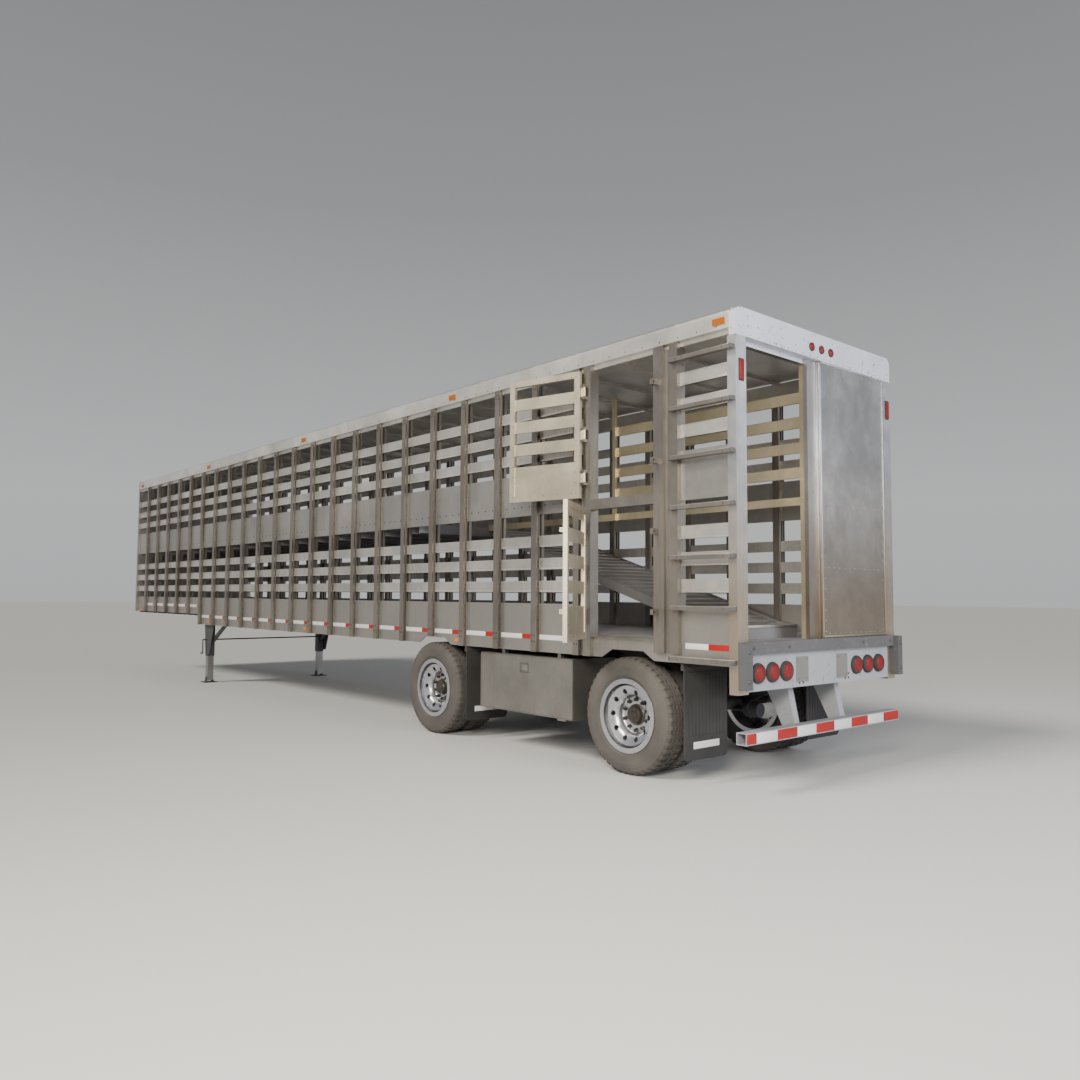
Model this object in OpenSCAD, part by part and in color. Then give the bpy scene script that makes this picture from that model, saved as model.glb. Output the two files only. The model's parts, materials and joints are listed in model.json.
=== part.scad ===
// Two-deck livestock semitrailer with a slatted aluminium body, spread axles and landing gear.
// +X points to the nose, +Y to the left-hand side with the doors, +Z up.
// The origin is on the kingpin's axis, at the lower face of the coupler plate.
// Inside on_road(), X is measured from the rear face of the body and Z from the road.

/* [Body] */
// Length of the body, from the rear posts to the nose
trailer_l = 16154; // [13500:1:19500]
// Width over the side posts
body_w = 2590; // [2150:1:3110]
// Height of the roof above the road
body_h = 4110; // [3700:1:4940]
// Height of the coupler plate's lower face above the road
coupler_h = 1220; // [1210:1:1230]
// Distance of the kingpin behind the nose
kingpin_setback = 914; // [760:1:1100]

/* [Side walls] */
// Centre of the first full side post, ahead of the side doors
first_post_x = 1954; // [1920:1:2350]
// Pitch of the side posts
post_pitch = 645.5; // [538:0.5:775]
// Width of a side post's outer flange
post_w = 84; // [60:1:110]
// How far the posts stand out from the slats
post_proud = 50; // [35:1:60]
// How far the posts stand in from the slats
post_inner = 35; // [20:1:50]
// Thickness of the slats and wall panels
slat_t = 25; // [18:1:30]
// Height of a slat
slat_h = 118; // [90:1:142]
// Pitch of the slats
slat_pitch = 236; // [200:1:283]
// Height of the top rail
rail_h = 175; // [145:1:210]
// Thickness of the rail walls
rail_t = 12; // [8:1:15]
// Gap between the top rail and the highest slat
top_gap = 280; // [230:1:336]
// Upper edge of the belt panel
belt_top = 2947; // [2900:1:3000]
// Lower edge of the belt panel
belt_bottom = 2505; // [2460:1:2540]
// Upper edge of the highest slat of the lower deck
lower_slat_top = 2280; // [2200:1:2350]
// Upper edge of the kick panel
kick_top = 1572; // [1520:1:1620]

/* [Floors] */
// Top of the main floor above the road
floor_z = 1275; // [1262:1:1300]
// Thickness of the floor planks
floor_t = 30; // [20:1:36]
// Lower edge of the side rail
rail_bottom = 1070; // [1050:1:1090]
// Top of the side rail, where the kick panel starts
side_rail_top = 1260; // [1250:1:1262]
// Depth of the crossmembers
cross_h = 100; // [84:1:120]
// Pitch of the crossmembers
cross_pitch = 305; // [254:1:366]
// Number of the side post at the step up to the nose
drop_post = 16; // [13:1:17]
// Lower edge of the nose's side rail
nose_bottom = 1260; // [1250:1:1262]
// Top of the nose floor above the road
nose_floor_z = 1460; // [1440:1:1500]
// Top of the upper deck above the road
deck_z = 2550; // [2520:1:2600]
// Depth of the upper deck's crossbeams
deck_beam_h = 80; // [66:1:96]

/* [Side doors] */
// Rear edge of the side door opening
door_x0 = 924; // [900:1:950]
// Front edge of the side door opening
door_x1 = 1746; // [1700:1:1760]
// Thickness of a side door
door_t = 40; // [33:1:48]
// How far a door laps over its frame
door_lap = 20; // [15:1:24]
// Width of the door stiles
stile_w = 62; // [50:1:75]
// Angle from closed at which the upper door stands
upper_open = 166; // [90:1:168]
// Angle from closed at which the lower door stands
lower_open = 55; // [0:1:160]
// Lower edge of the rail between the two side doors
mid_rail_z = 2496; // [2480:1:2520]
// Height of the rail between the two side doors
mid_rail_h = 101; // [84:1:120]
// Diameter of a door bolt
bolt_d = 18; // [15:1:21]
// Travel of a door bolt
bolt_travel = 34; // [28:1:36]

/* [Rear] */
// Height of the rear header
header_h = 245; // [205:1:290]
// Depth of the rear header
header_t = 70; // [58:1:84]
// Radius of the rear header's top corners
header_r = 75; // [60:1:90]
// Width of the rear corner posts, seen from behind
corner_w = 142; // [118:1:160]
// Depth of the rear corner posts
corner_t = 89; // [85:1:107]
// Wall of the rear corner posts
corner_wall = 8; // [6:1:10]
// Edge of the fixed rear panel beside the doorway
panel_y = -3; // [-30:1:30]
// Thickness of the fixed rear panel
panel_t = 30; // [25:1:36]
// Thickness of the sliding rear door
slide_t = 40; // [33:1:44]
// How far the open sliding door shows past the fixed panel
slide_show = 166; // [138:1:200]
// Lower edge of the sill plate
sill_bottom = 865; // [840:1:890]
// Diameter of a tail lamp
tail_d = 175; // [146:1:190]
// Pitch of the ladder's rungs
rung_pitch = 441; // [368:1:529]
// How far the ladder's rungs stand out
rung_proud = 60; // [50:1:72]

/* [Rear guard] */
// Side of the square guard tube
guard_s = 100; // [83:1:120]
// Length of the guard tube
guard_l = 2520; // [2100:1:2560]
// Height of the guard tube's lower face
guard_z = 440; // [400:1:480]

/* [Running gear] */
// Radius of a tyre
tyre_r = 543; // [480:1:570]
// Width of a tyre
tyre_w = 280; // [240:1:300]
// Distance between the centres of a pair of tyres
dual_gap = 343; // [320:1:380]
// Radius of the rim flange
rim_r = 343; // [320:1:360]
// Radius of the rim's tyre seat
seat_r = 311; // [290:1:318]
// Distance of the rear axle from the rear face
rear_axle_x = 1295; // [1200:1:1350]
// Distance between the two axles
axle_spread = 3190; // [2900:1:3400]
// Radius of the axle tube
axle_r = 63.5; // [53:0.5:70]
// Radius of the wheel bearings' seat
spindle_r = 45; // [38:1:54]
// Distance from a suspension pivot to its axle
arm_l = 520; // [470:1:600]
// Distance from the axle to the middle of its air spring
spring_back = 330; // [290:1:360]
// Radius of an air spring
spring_r = 125; // [104:1:140]
// Radius of a suspension pivot pin
pivot_r = 20; // [16:1:24]

/* [Landing gear] */
// Distance of the landing legs behind the nose step
leg_back = 142; // [130:1:180]
// Side of the outer leg tube
leg_s = 125; // [110:1:138]
// Wall of the outer leg tube
leg_wall = 8; // [6:1:9]
// Lower end of the outer leg tube
leg_end = 490; // [450:1:520]
// How far the legs draw up
leg_travel = 375; // [315:1:380]
// Side of the square sand shoe
shoe_s = 240; // [200:1:288]
// Radius of the sand shoe's pin
shoe_pin_r = 12.5; // [10.5:0.5:15]

/* [Tool box and flaps] */
// Rear end of the tool box
box_x = 2030; // [1950:1:2060]
// Length of the tool box
box_l = 1520; // [1270:1:1550]
// Height of the tool box
box_h = 610; // [510:1:640]
// Depth of the tool box
box_d = 600; // [500:1:620]
// Wall of the tool box
box_t = 6; // [5:0.5:8]
// Width of a mud flap
flap_w = 600; // [500:1:640]
// Height of a mud flap
flap_h = 850; // [710:1:880]
// Thickness of a mud flap
flap_t = 12; // [10:1:15]

/* [Kingpin] */
// Radius of the kingpin's neck
king_neck_r = 25.4; // [25.4:0.1:44.5]
// Radius of the kingpin's lower head
king_head_r = 35.7; // [35.7:0.1:57]
// Length of the kingpin below the plate
king_l = 84; // [70:1:86]
// Length of the kingpin's lower head
king_head_l = 18; // [15:1:22]

/* [Hidden] */
$fn = 64;

// Clearance between pieces that move past each other
move_gap = 0.4;
// Clearance between a pin and its hole, on the radius
run_gap = 0.06;
// Longer than any cut is deep
far = 40000;

half_w = body_w / 2;
wall_y = half_w - post_proud;
wall_in = wall_y - slat_t;
post_in = wall_in - post_inner;
rail_z = body_h - rail_h;
lip_z = rail_z - 42;
nose_t = 60;
nose_in = trailer_l - nose_t;
front_axle_x = rear_axle_x + axle_spread;
kingpin_x = trailer_l - kingpin_setback;
post_n = floor((nose_in - first_post_x - post_w) / post_pitch) + 1;
drop_x = first_post_x + drop_post * post_pitch;
arch_h = 80;
arch_w = 665;
arch_top_w = 400;
floor_under = floor_z - floor_t;
cross_z = floor_under - cross_h;
first_cross_x = 160;
deck_t = 35;
deck_under = deck_z - deck_t;
deck_x = 4950;
header_z = body_h - header_h;

// Slats of the upper deck that fit between the belt panel and the top rail
slat_top = rail_z - top_gap;
upper_n = floor((slat_top - slat_h - belt_top - 60) / slat_pitch) + 1;
lower_n = floor((lower_slat_top - slat_h - kick_top - 60) / slat_pitch) + 1;

// Frame of the side doors
hinge_jamb_w = 100;
latch_jamb_w = 124;
ladder_post_x = 639;
ladder_post_w = 93;
door_y = half_w + 1;
hinge_x = door_x1 + 54;
hinge_y = door_y + door_t / 2 + 12;
door_len = door_x1 - door_x0 + 2 * door_lap;
upper_z0 = mid_rail_z + mid_rail_h + 15;
upper_z1 = rail_z - 60;
lower_z0 = side_rail_top - 14;
lower_z1 = mid_rail_z + 12;
bolt_inset = 270;

// Tool box
box_drop = 125;
box_z = cross_z - box_drop - box_h;
box_y = half_w - 55;
lid_t = 12;

// Landing gear
leg_x = drop_x - leg_back;
leg_y = wall_y - rail_t - 50 - 10 - leg_s / 2;
inner_s = leg_s - 2 * leg_wall - 2 * move_gap;
shoe_t = 12;
shoe_pin_z = 72;
ear_t = 10;
leg_top = leg_end + 215;
crank_z = 790;
shaft_r = 13;

// Running gear
outer_y = half_w - 15 - tyre_w / 2;
inner_y = outer_y - dual_gap;
mount_y = (outer_y + inner_y) / 2;
disc_t = 22;
barrel_t = 14;
hub_r = 110;
stud_circle_r = 142.9;
stud_n = 10;
beam_y = 470;
beam_w = 90;
beam_z = cross_z - 150;
pivot_z = tyre_r + 70;
seat_z = tyre_r + axle_r + 80;

// Puts a piece drawn from the rear face and the road into the part's frame
module on_road() {
    translate([-kingpin_x, 0, -coupler_h]) children();
}

// A piece and its mirror image on the other side
module both_sides() {
    children();
    mirror([0, 1, 0]) children();
}

// A box from its lowest corner to its highest
module span(low, high) {
    translate(low) cube(high - low);
}

// A cylinder along Y from y0 to y1
module rod_y(x, z, r, y0, y1) {
    translate([x, y1, z]) rotate([90, 0, 0]) cylinder(r = r, h = y1 - y0);
}

// A cylinder along X from x0 to x1
module rod_x(y, z, r, x0, x1) {
    translate([x0, y, z]) rotate([0, 90, 0]) cylinder(r = r, h = x1 - x0);
}

// An outline of X and Z points, from y0 to y1
module side_plate(points, y0, y1) {
    translate([0, y1, 0]) rotate([90, 0, 0]) linear_extrude(y1 - y0) polygon(points);
}

// Turns a door about its hinge, opening away from the wall
module swing(angle) {
    translate([hinge_x, hinge_y, 0]) rotate([0, 0, -angle]) translate([-hinge_x, -hinge_y, 0]) children();
}

// ---- Roof and rails ----

module roof_sheet() {
    color("gainsboro") on_road()
        span([header_t, -half_w + 120, body_h - rail_t], [nose_in, half_w - 120, body_h - rail_t + 8]);
}

module roof_bows() {
    color("silver") on_road()
        for (i = [-2 : post_n - 1]) {
            x = first_post_x + i * post_pitch;
            span([x - 20, -half_w + rail_t, body_h - 50], [x + 20, half_w - rail_t, body_h - rail_t]);
        }
}

// Section of a top rail: outer wall, top flange, ledge and inner lip
module top_rail_section() {
    intersection() {
        union() {
            translate([half_w - rail_t, rail_z]) square([rail_t, rail_h]);
            translate([half_w - 120, body_h - rail_t]) square([120, rail_t]);
            translate([wall_in, rail_z]) square([half_w - wall_in, rail_t]);
            translate([wall_in, lip_z]) square([slat_t, rail_z - lip_z + rail_t]);
        }
        union() {
            translate([0, 0]) square([half_w - 50, body_h]);
            translate([0, 0]) square([half_w, body_h - 50]);
            translate([half_w - 50, body_h - 50]) circle(r = 50);
        }
    }
}

module top_rails() {
    color("lightgray") on_road() both_sides()
        translate([header_t, 0, 0]) rotate([90, 0, 90]) linear_extrude(nose_in - header_t) top_rail_section();
}

module front_wall() {
    color("silver") on_road() {
        span([nose_in, -half_w, nose_bottom], [trailer_l, -half_w + 110, body_h]);
        span([nose_in, half_w - 110, nose_bottom], [trailer_l, half_w, body_h]);
        span([nose_in + 12, -half_w + 110, nose_bottom], [trailer_l - 12, half_w - 110, deck_z]);
        span([nose_in + 12, -half_w + 110, deck_z + 300], [trailer_l - 12, half_w - 110, body_h]);
        for (y = [-half_w + 110 : (body_w - 220 - 60) / 3 : half_w - 170])
            span([nose_in + 12, y, deck_z], [trailer_l - 12, y + 60, deck_z + 300]);
    }
}

// ---- Side walls ----

// Section of a side post: outer hat and inner channel around the slats
module outer_post_section() {
    difference() {
        translate([-post_w / 2, 0]) square([post_w, post_proud]);
        translate([-post_w / 2 - 1, 8]) square([21, post_proud - 16]);
        translate([post_w / 2 - 20, 8]) square([21, post_proud - 16]);
    }
}

module inner_post_section() {
    difference() {
        translate([-post_w / 2, -post_inner]) square([post_w, post_inner]);
        translate([-post_w / 2 + 8, -post_inner + 8]) square([post_w - 16, post_inner]);
    }
}

function in_arch(x) = abs(x - front_axle_x) < arch_w / 2 || abs(x - rear_axle_x) < arch_w / 2;
function post_foot(x) = x > drop_x + 1 ? nose_bottom : in_arch(x) ? rail_bottom + arch_h : rail_bottom;
function sole(x) = x > drop_x - 1 ? nose_floor_z : floor_z;

// A side post at x on the left-hand side
module side_post(x) {
    translate([x, wall_y, post_foot(x)]) linear_extrude(rail_z - post_foot(x)) outer_post_section();
    translate([x, wall_in, sole(x)]) linear_extrude(lip_z - sole(x)) inner_post_section();
}

module side_posts_left() {
    color("darkgray") on_road()
        for (i = [0 : post_n - 1]) side_post(first_post_x + i * post_pitch);
}

module side_posts_right() {
    color("darkgray") on_road() mirror([0, 1, 0])
        for (i = [-2 : post_n - 1]) side_post(first_post_x + i * post_pitch);
}

// One wall's slats on the left-hand side, from x0 to x1
module slats(x0, x1) {
    for (i = [0 : upper_n - 1])
        span([x0, wall_in, slat_top - i * slat_pitch - slat_h], [x1, wall_y, slat_top - i * slat_pitch]);
    for (i = [0 : lower_n - 1])
        span([x0, wall_in, lower_slat_top - i * slat_pitch - slat_h],
             [x1, wall_y, lower_slat_top - i * slat_pitch]);
}

module slats_left() {
    color("whitesmoke") on_road() {
        slats(door_x1 + hinge_jamb_w, nose_in);
        slats(corner_t, ladder_post_x);
    }
}

module slats_right() {
    color("whitesmoke") on_road() mirror([0, 1, 0]) slats(corner_t, nose_in);
}

// The same stretch of panel on both walls, with the left wall's door opening left free
module wall_panel(z0, z1, x1) {
    span([door_x1 + hinge_jamb_w, wall_in, z0], [x1, wall_y, z1]);
    span([corner_t, wall_in, z0], [ladder_post_x, wall_y, z1]);
    mirror([0, 1, 0]) span([corner_t, wall_in, z0], [x1, wall_y, z1]);
}

module belt_panels() {
    color("gainsboro") on_road() wall_panel(belt_bottom, belt_top, nose_in);
}

module kick_panels() {
    color("gainsboro") on_road() {
        wall_panel(side_rail_top, kick_top, drop_x);
        both_sides() span([drop_x, wall_in, nose_floor_z], [nose_in, wall_y, kick_top]);
        // Strips over the wheel arches
        both_sides() for (x = [rear_axle_x, front_axle_x])
            span([x - arch_top_w / 2, wall_y - rail_t, rail_bottom + arch_h], [x + arch_top_w / 2, wall_y, side_rail_top]);
    }
}

// Lengths of the low side rail between the wheel arches, its ends sloped up to the arches' tops
module side_rail_outline() {
    slope = (arch_w - arch_top_w) / 2;
    starts = [corner_t, rear_axle_x + arch_top_w / 2, front_axle_x + arch_top_w / 2];
    ends = [rear_axle_x - arch_top_w / 2, front_axle_x - arch_top_w / 2, drop_x];
    for (i = [0 : 2])
        polygon([
            [starts[i], rail_bottom + (i > 0 ? arch_h : 0)], [starts[i] + (i > 0 ? slope : 0), rail_bottom],
            [ends[i] - (i < 2 ? slope : 0), rail_bottom], [ends[i], rail_bottom + (i < 2 ? arch_h : 0)],
            [ends[i], side_rail_top], [starts[i], side_rail_top]
        ]);
}

module side_rails() {
    color("silver") on_road() both_sides() {
        translate([0, wall_y, 0]) rotate([90, 0, 0]) linear_extrude(rail_t) side_rail_outline();
        span([drop_x, wall_y - rail_t, nose_bottom], [nose_in, wall_y, nose_floor_z]);
    }
}

// ---- Floors ----

// Seam between separate floor plates
plate_gap = 0.2;

module floor_plates() {
    color("dimgray") on_road() {
        span([corner_t, -wall_in, floor_under], [drop_x - rail_t - plate_gap, wall_in, floor_z]);
        span([sill_t, -half_w + corner_w, floor_under], [corner_t, half_w - corner_w, floor_z]);
        span([drop_x - rail_t, -wall_in, cross_z], [drop_x, wall_in, nose_floor_z]);
        span([drop_x + plate_gap, -wall_in, nose_floor_z - floor_t], [nose_in, wall_in, nose_floor_z]);
        // Low step inside the rear doorway
        span([340, -90, floor_z + plate_gap], [760, post_in - 85, floor_z + 120]);
    }
}

// Section of a crossmember, with its web upright
module beam_section(w, h, t) {
    translate([-w / 2, 0]) square([w, t]);
    translate([-w / 2, h - t]) square([w, t]);
    translate([-t / 2, 0]) square([t, h]);
}

module crossmember(x, z0, h) {
    y1 = wall_y - rail_t;
    translate([x, y1, z0]) rotate([90, 0, 0]) linear_extrude(2 * y1) beam_section(64, h, 8);
}

module crossmembers() {
    low_n = floor((drop_x - rail_t - first_cross_x - 60) / cross_pitch);
    nose_n = floor((nose_in - drop_x - 100) / cross_pitch);
    color("gray") on_road() {
        for (i = [0 : low_n]) crossmember(first_cross_x + i * cross_pitch, cross_z, cross_h);
        for (i = [0 : nose_n])
            crossmember(drop_x + 60 + i * cross_pitch, coupler_h + 12, nose_floor_z - floor_t - coupler_h - 12);
    }
}

module upper_deck() {
    color("dimgray") on_road() {
        span([deck_x, -post_in, deck_under], [nose_in, post_in, deck_z]);
        for (i = [0 : post_n - 1]) {
            x = first_post_x + i * post_pitch;
            if (x > deck_x + 40)
                translate([x, post_in, deck_under - deck_beam_h]) rotate([90, 0, 0])
                    linear_extrude(2 * post_in) beam_section(60, deck_beam_h, 8);
        }
        span([deck_x, -post_in, deck_under - deck_beam_h], [deck_x + 12, post_in, deck_under]);
    }
}

// Fence along the ramp's well: a beam, two posts, slats and a latch rod
gate_y = 60;
gate_t = 30;
gate_x0 = 110;
gate_x1 = 2600;
gate_post = 45;
gate_beam_z = 2513;
gate_beam_h = 75;

module centre_gate() {
    color("burlywood") on_road() {
        span([gate_x0, gate_y, gate_beam_z], [deck_x, gate_y + gate_t, gate_beam_z + gate_beam_h]);
        span([gate_x0, gate_y + gate_t, floor_z], [gate_x0 + gate_post, gate_y + 2 * gate_t, header_z]);
        span([gate_x1 - gate_post, gate_y + gate_t, gate_beam_z], [gate_x1, gate_y + 2 * gate_t, header_z + 60]);
        for (i = [0 : upper_n])
            span([gate_x0, gate_y, slat_top - 76 - i * slat_pitch - 100],
                 [gate_x1, gate_y + gate_t, slat_top - 76 - i * slat_pitch]);
        rod_x(gate_y + 1.5 * gate_t, header_z + 40, 7, gate_x1, gate_x1 + 150);
    }
}

// ---- Coupler ----

module coupler_plate() {
    color("dimgray") on_road() difference() {
        span([kingpin_x - 760, -610, coupler_h], [kingpin_x + 760, 610, coupler_h + 12]);
        translate([kingpin_x, 0, coupler_h - 1]) cylinder(r = king_neck_r, h = 14);
    }
}

module kingpin() {
    color("gray") on_road() translate([kingpin_x, 0, coupler_h - king_l]) {
        cylinder(r = king_head_r, h = king_head_l);
        cylinder(r = king_neck_r, h = king_l + 12);
    }
}

// ---- Rear end ----

// Header's outline seen from behind, with rounded top corners
module header_outline() {
    difference() {
        translate([-half_w, header_z]) square([body_w, header_h]);
        for (s = [-1, 1]) difference() {
            translate([s * half_w - header_r, body_h - header_r]) square([2 * header_r, 2 * header_r]);
            translate([s * (half_w - header_r), body_h - header_r]) circle(r = header_r);
            translate([s * (half_w - header_r) - (s > 0 ? 2 * header_r : 0), body_h - header_r - 1])
                square([2 * header_r, header_r + 1]);
        }
    }
}

sill_t = 8;
slide_x = sill_t + panel_t + 5;

module rear_header() {
    color("lightsteelblue") on_road() {
        rotate([90, 0, 90]) linear_extrude(header_t) header_outline();
        // Guide strip that keeps the sliding door's head upright
        guide_x = slide_x + slide_t + move_gap;
        guide_y = half_w - corner_w - 1;
        span([guide_x, -guide_y, header_z - 40], [guide_x + 8, guide_y, header_z + 30]);
        span([header_t, -guide_y, header_z], [guide_x, guide_y, header_z + 30]);
    }
}

// Square tube section
module tube_section(w, d, t) {
    difference() {
        square([w, d]);
        translate([t, t]) square([w - 2 * t, d - 2 * t]);
    }
}

module corner_posts() {
    color("tan") on_road() both_sides()
        translate([0, half_w - corner_w, 846]) linear_extrude(header_z - 846)
            tube_section(corner_t, corner_w, corner_wall);
}

// Two keepers with a hole for a door's bolt
module keeper(z) {
    x1 = door_x0 - door_lap - 6;
    difference() {
        span([x1 - 34, half_w, z - 26], [x1, half_w + door_t + 34, z + 26]);
        rod_x(bolt_y, z, bolt_d / 2 + 1, x1 - 35, x1 + 1);
    }
}

bolt_y = door_y + door_t + 16;

knuckle_r = 14;
knuckle_h = 90;
hinge_pin_r = 8;
function knuckle_zs(z0, z1) = [z0 + 160, (z0 + z1 - knuckle_h) / 2, z1 - 160 - knuckle_h];

// A hinge pin between two ears on the hinge jamb, around a knuckle that starts at z
module hinge_pin(z) {
    for (a = [z - 30, z + knuckle_h + 1])
        span([hinge_x - knuckle_r, half_w, a], [hinge_x + knuckle_r, hinge_y + knuckle_r, a + 29]);
    translate([hinge_x, hinge_y, z - 20]) cylinder(r = hinge_pin_r, h = knuckle_h + 40);
}

function bolt_zs() = [upper_z1 - bolt_inset, upper_z0 + bolt_inset, lower_z1 - bolt_inset, lower_z0 + bolt_inset];

// A jamb that stands on the floor inside, on the side rail, and in front of the rail outside
module jamb(x0, x1, foot) {
    span([x0, post_in, floor_z], [x1, wall_in, lip_z]);
    span([x0, wall_in, side_rail_top], [x1, wall_y, lip_z]);
    span([x0, wall_y, foot], [x1, half_w, rail_z]);
}

module side_door_frame() {
    color("rosybrown") on_road() {
        jamb(door_x1, door_x1 + hinge_jamb_w, rail_bottom);
        jamb(door_x0 - latch_jamb_w, door_x0, rail_bottom + arch_h);
        jamb(ladder_post_x, ladder_post_x + ladder_post_w, rail_bottom + arch_h);
        span([ladder_post_x + ladder_post_w, wall_y, rail_bottom + arch_h],
             [door_x0 - latch_jamb_w, wall_y + 20, lip_z]);
        // Rail between the doors, and the threshold
        span([door_x0, wall_in, mid_rail_z], [door_x1, half_w, mid_rail_z + mid_rail_h]);
        span([door_x0, wall_in, side_rail_top], [door_x1, half_w, floor_z]);
        for (z = bolt_zs()) keeper(z);
        for (z = concat(knuckle_zs(upper_z0, upper_z1), knuckle_zs(lower_z0, lower_z1))) hinge_pin(z);
    }
}

module rear_panel() {
    color("silver") on_road()
        span([sill_t, -half_w + corner_w, floor_z], [sill_t + panel_t, panel_y, header_z]);
}

module sill_plate() {
    color("lightgray") on_road() {
        span([0, -half_w + corner_w, sill_bottom], [sill_t, half_w - corner_w, floor_z - 12]);
        // Dark lip below the doorway, a channel with its back to the rear
        difference() {
            span([-40, -half_w + 85, floor_z - 100], [0, half_w - 85, floor_z + 5]);
            span([-28, -half_w + 84, floor_z - 88], [-8, half_w - 84, floor_z - 7]);
        }
    }
}

module corner_bumpers() {
    color("dimgray") on_road() both_sides() difference() {
        span([-85, half_w - 85, 890], [0, half_w, floor_z]);
        span([-75, half_w - 75, 880], [-8, half_w - 10, floor_z + 10]);
    }
}

module rear_guard() {
    strut_y = 430;
    color("lightgray") on_road() {
        difference() {
            span([-guard_s / 2, -guard_l / 2, guard_z], [guard_s / 2, guard_l / 2, guard_z + guard_s]);
            span([-guard_s / 2 + 6, -far, guard_z + 6], [guard_s / 2 - 6, far, guard_z + guard_s - 6]);
        }
        both_sides() side_plate([
            [guard_s / 2, guard_z], [guard_s / 2 + 90, guard_z], [430, beam_z],
            [430, cross_z], [180, cross_z], [guard_s / 2, guard_z + guard_s]
        ], strut_y - 90, strut_y - 10);
    }
}

module ladder_rungs() {
    rung_top = rail_z - 160;
    rung_n = floor((rung_top - rail_bottom - 40) / rung_pitch) + 1;
    color("whitesmoke") on_road()
        for (i = [0 : rung_n - 1]) {
            z = rung_top - i * rung_pitch;
            span([10, half_w, z - 34], [ladder_post_x + 60, half_w + rung_proud, z]);
        }
}

// A stadium lamp standing on the rear face
module oval_lamp(y, z, w, h) {
    span([-14, y - w / 2, z - (h - w) / 2], [0, y + w / 2, z + (h - w) / 2]);
    for (s = [-1, 1]) rod_x(y, z + s * (h - w) / 2, w / 2, -14, 0);
}

module red_lamps() {
    tail_z = 1015;
    color("red") on_road() {
        for (y = [543, 750, 955]) for (s = [-1, 1])
            rod_x(s * (y + (s > 0 ? 76 : 0)), tail_z, tail_d / 2, -34, 0);
        for (y = [-176, -16, 146]) rod_x(y, header_z + header_h / 2, 40, -18, 0);
        for (s = [-1, 1]) oval_lamp(s * (half_w - corner_w / 2), 3568, 66, 192);
    }
}

// Distance between the amber marker lamps along the side
lamp_pitch = 3932;

module amber_lamps() {
    color("orange") on_road() both_sides()
        for (i = [0 : floor((nose_in - 200) / lamp_pitch)]) {
            x = 171 + i * lamp_pitch;
            span([x - 65, half_w, body_h - 135], [x + 65, half_w + 14, body_h - 80]);
            if (i > 0 && !in_arch(x - 87)) span([x - 140, wall_y, rail_bottom + (x > drop_x ? 215 : 40)],
                            [x - 40, wall_y + 14, rail_bottom + (x > drop_x ? 260 : 85)]);
        }
}

plate_w = 180;
plate_h = 220;
plate_hole_y = 130;
plate_hole_z = 170;
plate_z = 1020;

module plate_brackets() {
    color("gainsboro") on_road()
        for (y = [366, -294]) difference() {
            span([-8, y - plate_w / 2, plate_z - plate_h / 2], [0, y + plate_w / 2, plate_z + plate_h / 2]);
            for (a = [-1, 1]) for (b = [-1, 1])
                rod_x(y + a * plate_hole_y / 2, plate_z + b * plate_hole_z / 2, 7, -9, 1);
        }
}

// ---- Doors ----

module slide_door() {
    y0 = -half_w + corner_w + 5;
    y1 = panel_y + slide_show;
    color("lightgray") on_road() {
        span([slide_x, y0, floor_z + move_gap], [slide_x + slide_t, y1, header_z - move_gap]);
    }
}

// A slatted door leaf between two heights, closed, with its stiles, rails, slats and panel
module door_leaf(z0, z1, panel_h) {
    x0 = door_x0 - door_lap;
    x1 = x0 + door_len;
    y0 = door_y;
    y1 = door_y + door_t;
    inner0 = x0 + stile_w;
    inner1 = x1 - stile_w;
    slat_z = z1 - stile_w - (z1 > 3000 ? 130 : 0);
    slat_n = floor((slat_z - slat_h - z0 - stile_w - panel_h - 40) / slat_pitch) + 1;
    difference() {
        union() {
            span([x0, y0, z0], [inner0, y1, z1]);
            span([inner1, y0, z0], [x1, y1, z1]);
            span([inner0, y0, z0], [inner1, y1, z0 + stile_w]);
            span([inner0, y0, z1 - stile_w], [inner1, y1, z1]);
            span([inner0, y0 + 8, z0 + stile_w], [inner1, y1 - 8, z0 + stile_w + panel_h]);
            for (i = [0 : slat_n - 1]) {
                top = z0 + stile_w + panel_h + (i + 1) * slat_pitch;
                span([inner0, y0 + 6, top - slat_h], [inner1, y1 - 6, top]);
            }
            // Hinge knuckles and their leaves
            for (z = knuckle_zs(z0, z1)) {
                translate([hinge_x, hinge_y, z]) cylinder(r = knuckle_r, h = knuckle_h);
                span([x1 - 30, y1, z], [hinge_x, y1 + 8, z + knuckle_h]);
            }
            // Guides for the two bolts
            for (z = [z0 + bolt_inset, z1 - bolt_inset])
                span([x0, y1, z - 20], [x0 + 70, bolt_y + 15, z + 20]);
        }
        for (z = knuckle_zs(z0, z1))
            translate([hinge_x, hinge_y, z - 1]) cylinder(r = hinge_pin_r + run_gap, h = knuckle_h + 2);
        for (z = [z0 + bolt_inset, z1 - bolt_inset])
            rod_x(bolt_y, z, bolt_d / 2 + move_gap, x0 - 1, x0 + 71);
    }
}

module upper_door() {
    color("wheat") on_road() swing(upper_open) door_leaf(upper_z0, upper_z1, 300);
}

module lower_door() {
    color("slategray") on_road() swing(lower_open) door_leaf(lower_z0, lower_z1, 250);
}

// A drawn-back bolt with its handle
module door_bolt(z) {
    x0 = door_x0 - door_lap;
    rod_x(bolt_y, z, bolt_d / 2, x0 + 2, x0 + 130);
    rod_y(x0 + 116, z, 8, bolt_y, bolt_y + 45);
}

module upper_door_top_bolt() {
    color("dimgray") on_road() swing(upper_open) door_bolt(upper_z1 - bolt_inset);
}

module upper_door_bottom_bolt() {
    color("dimgray") on_road() swing(upper_open) door_bolt(upper_z0 + bolt_inset);
}

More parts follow.
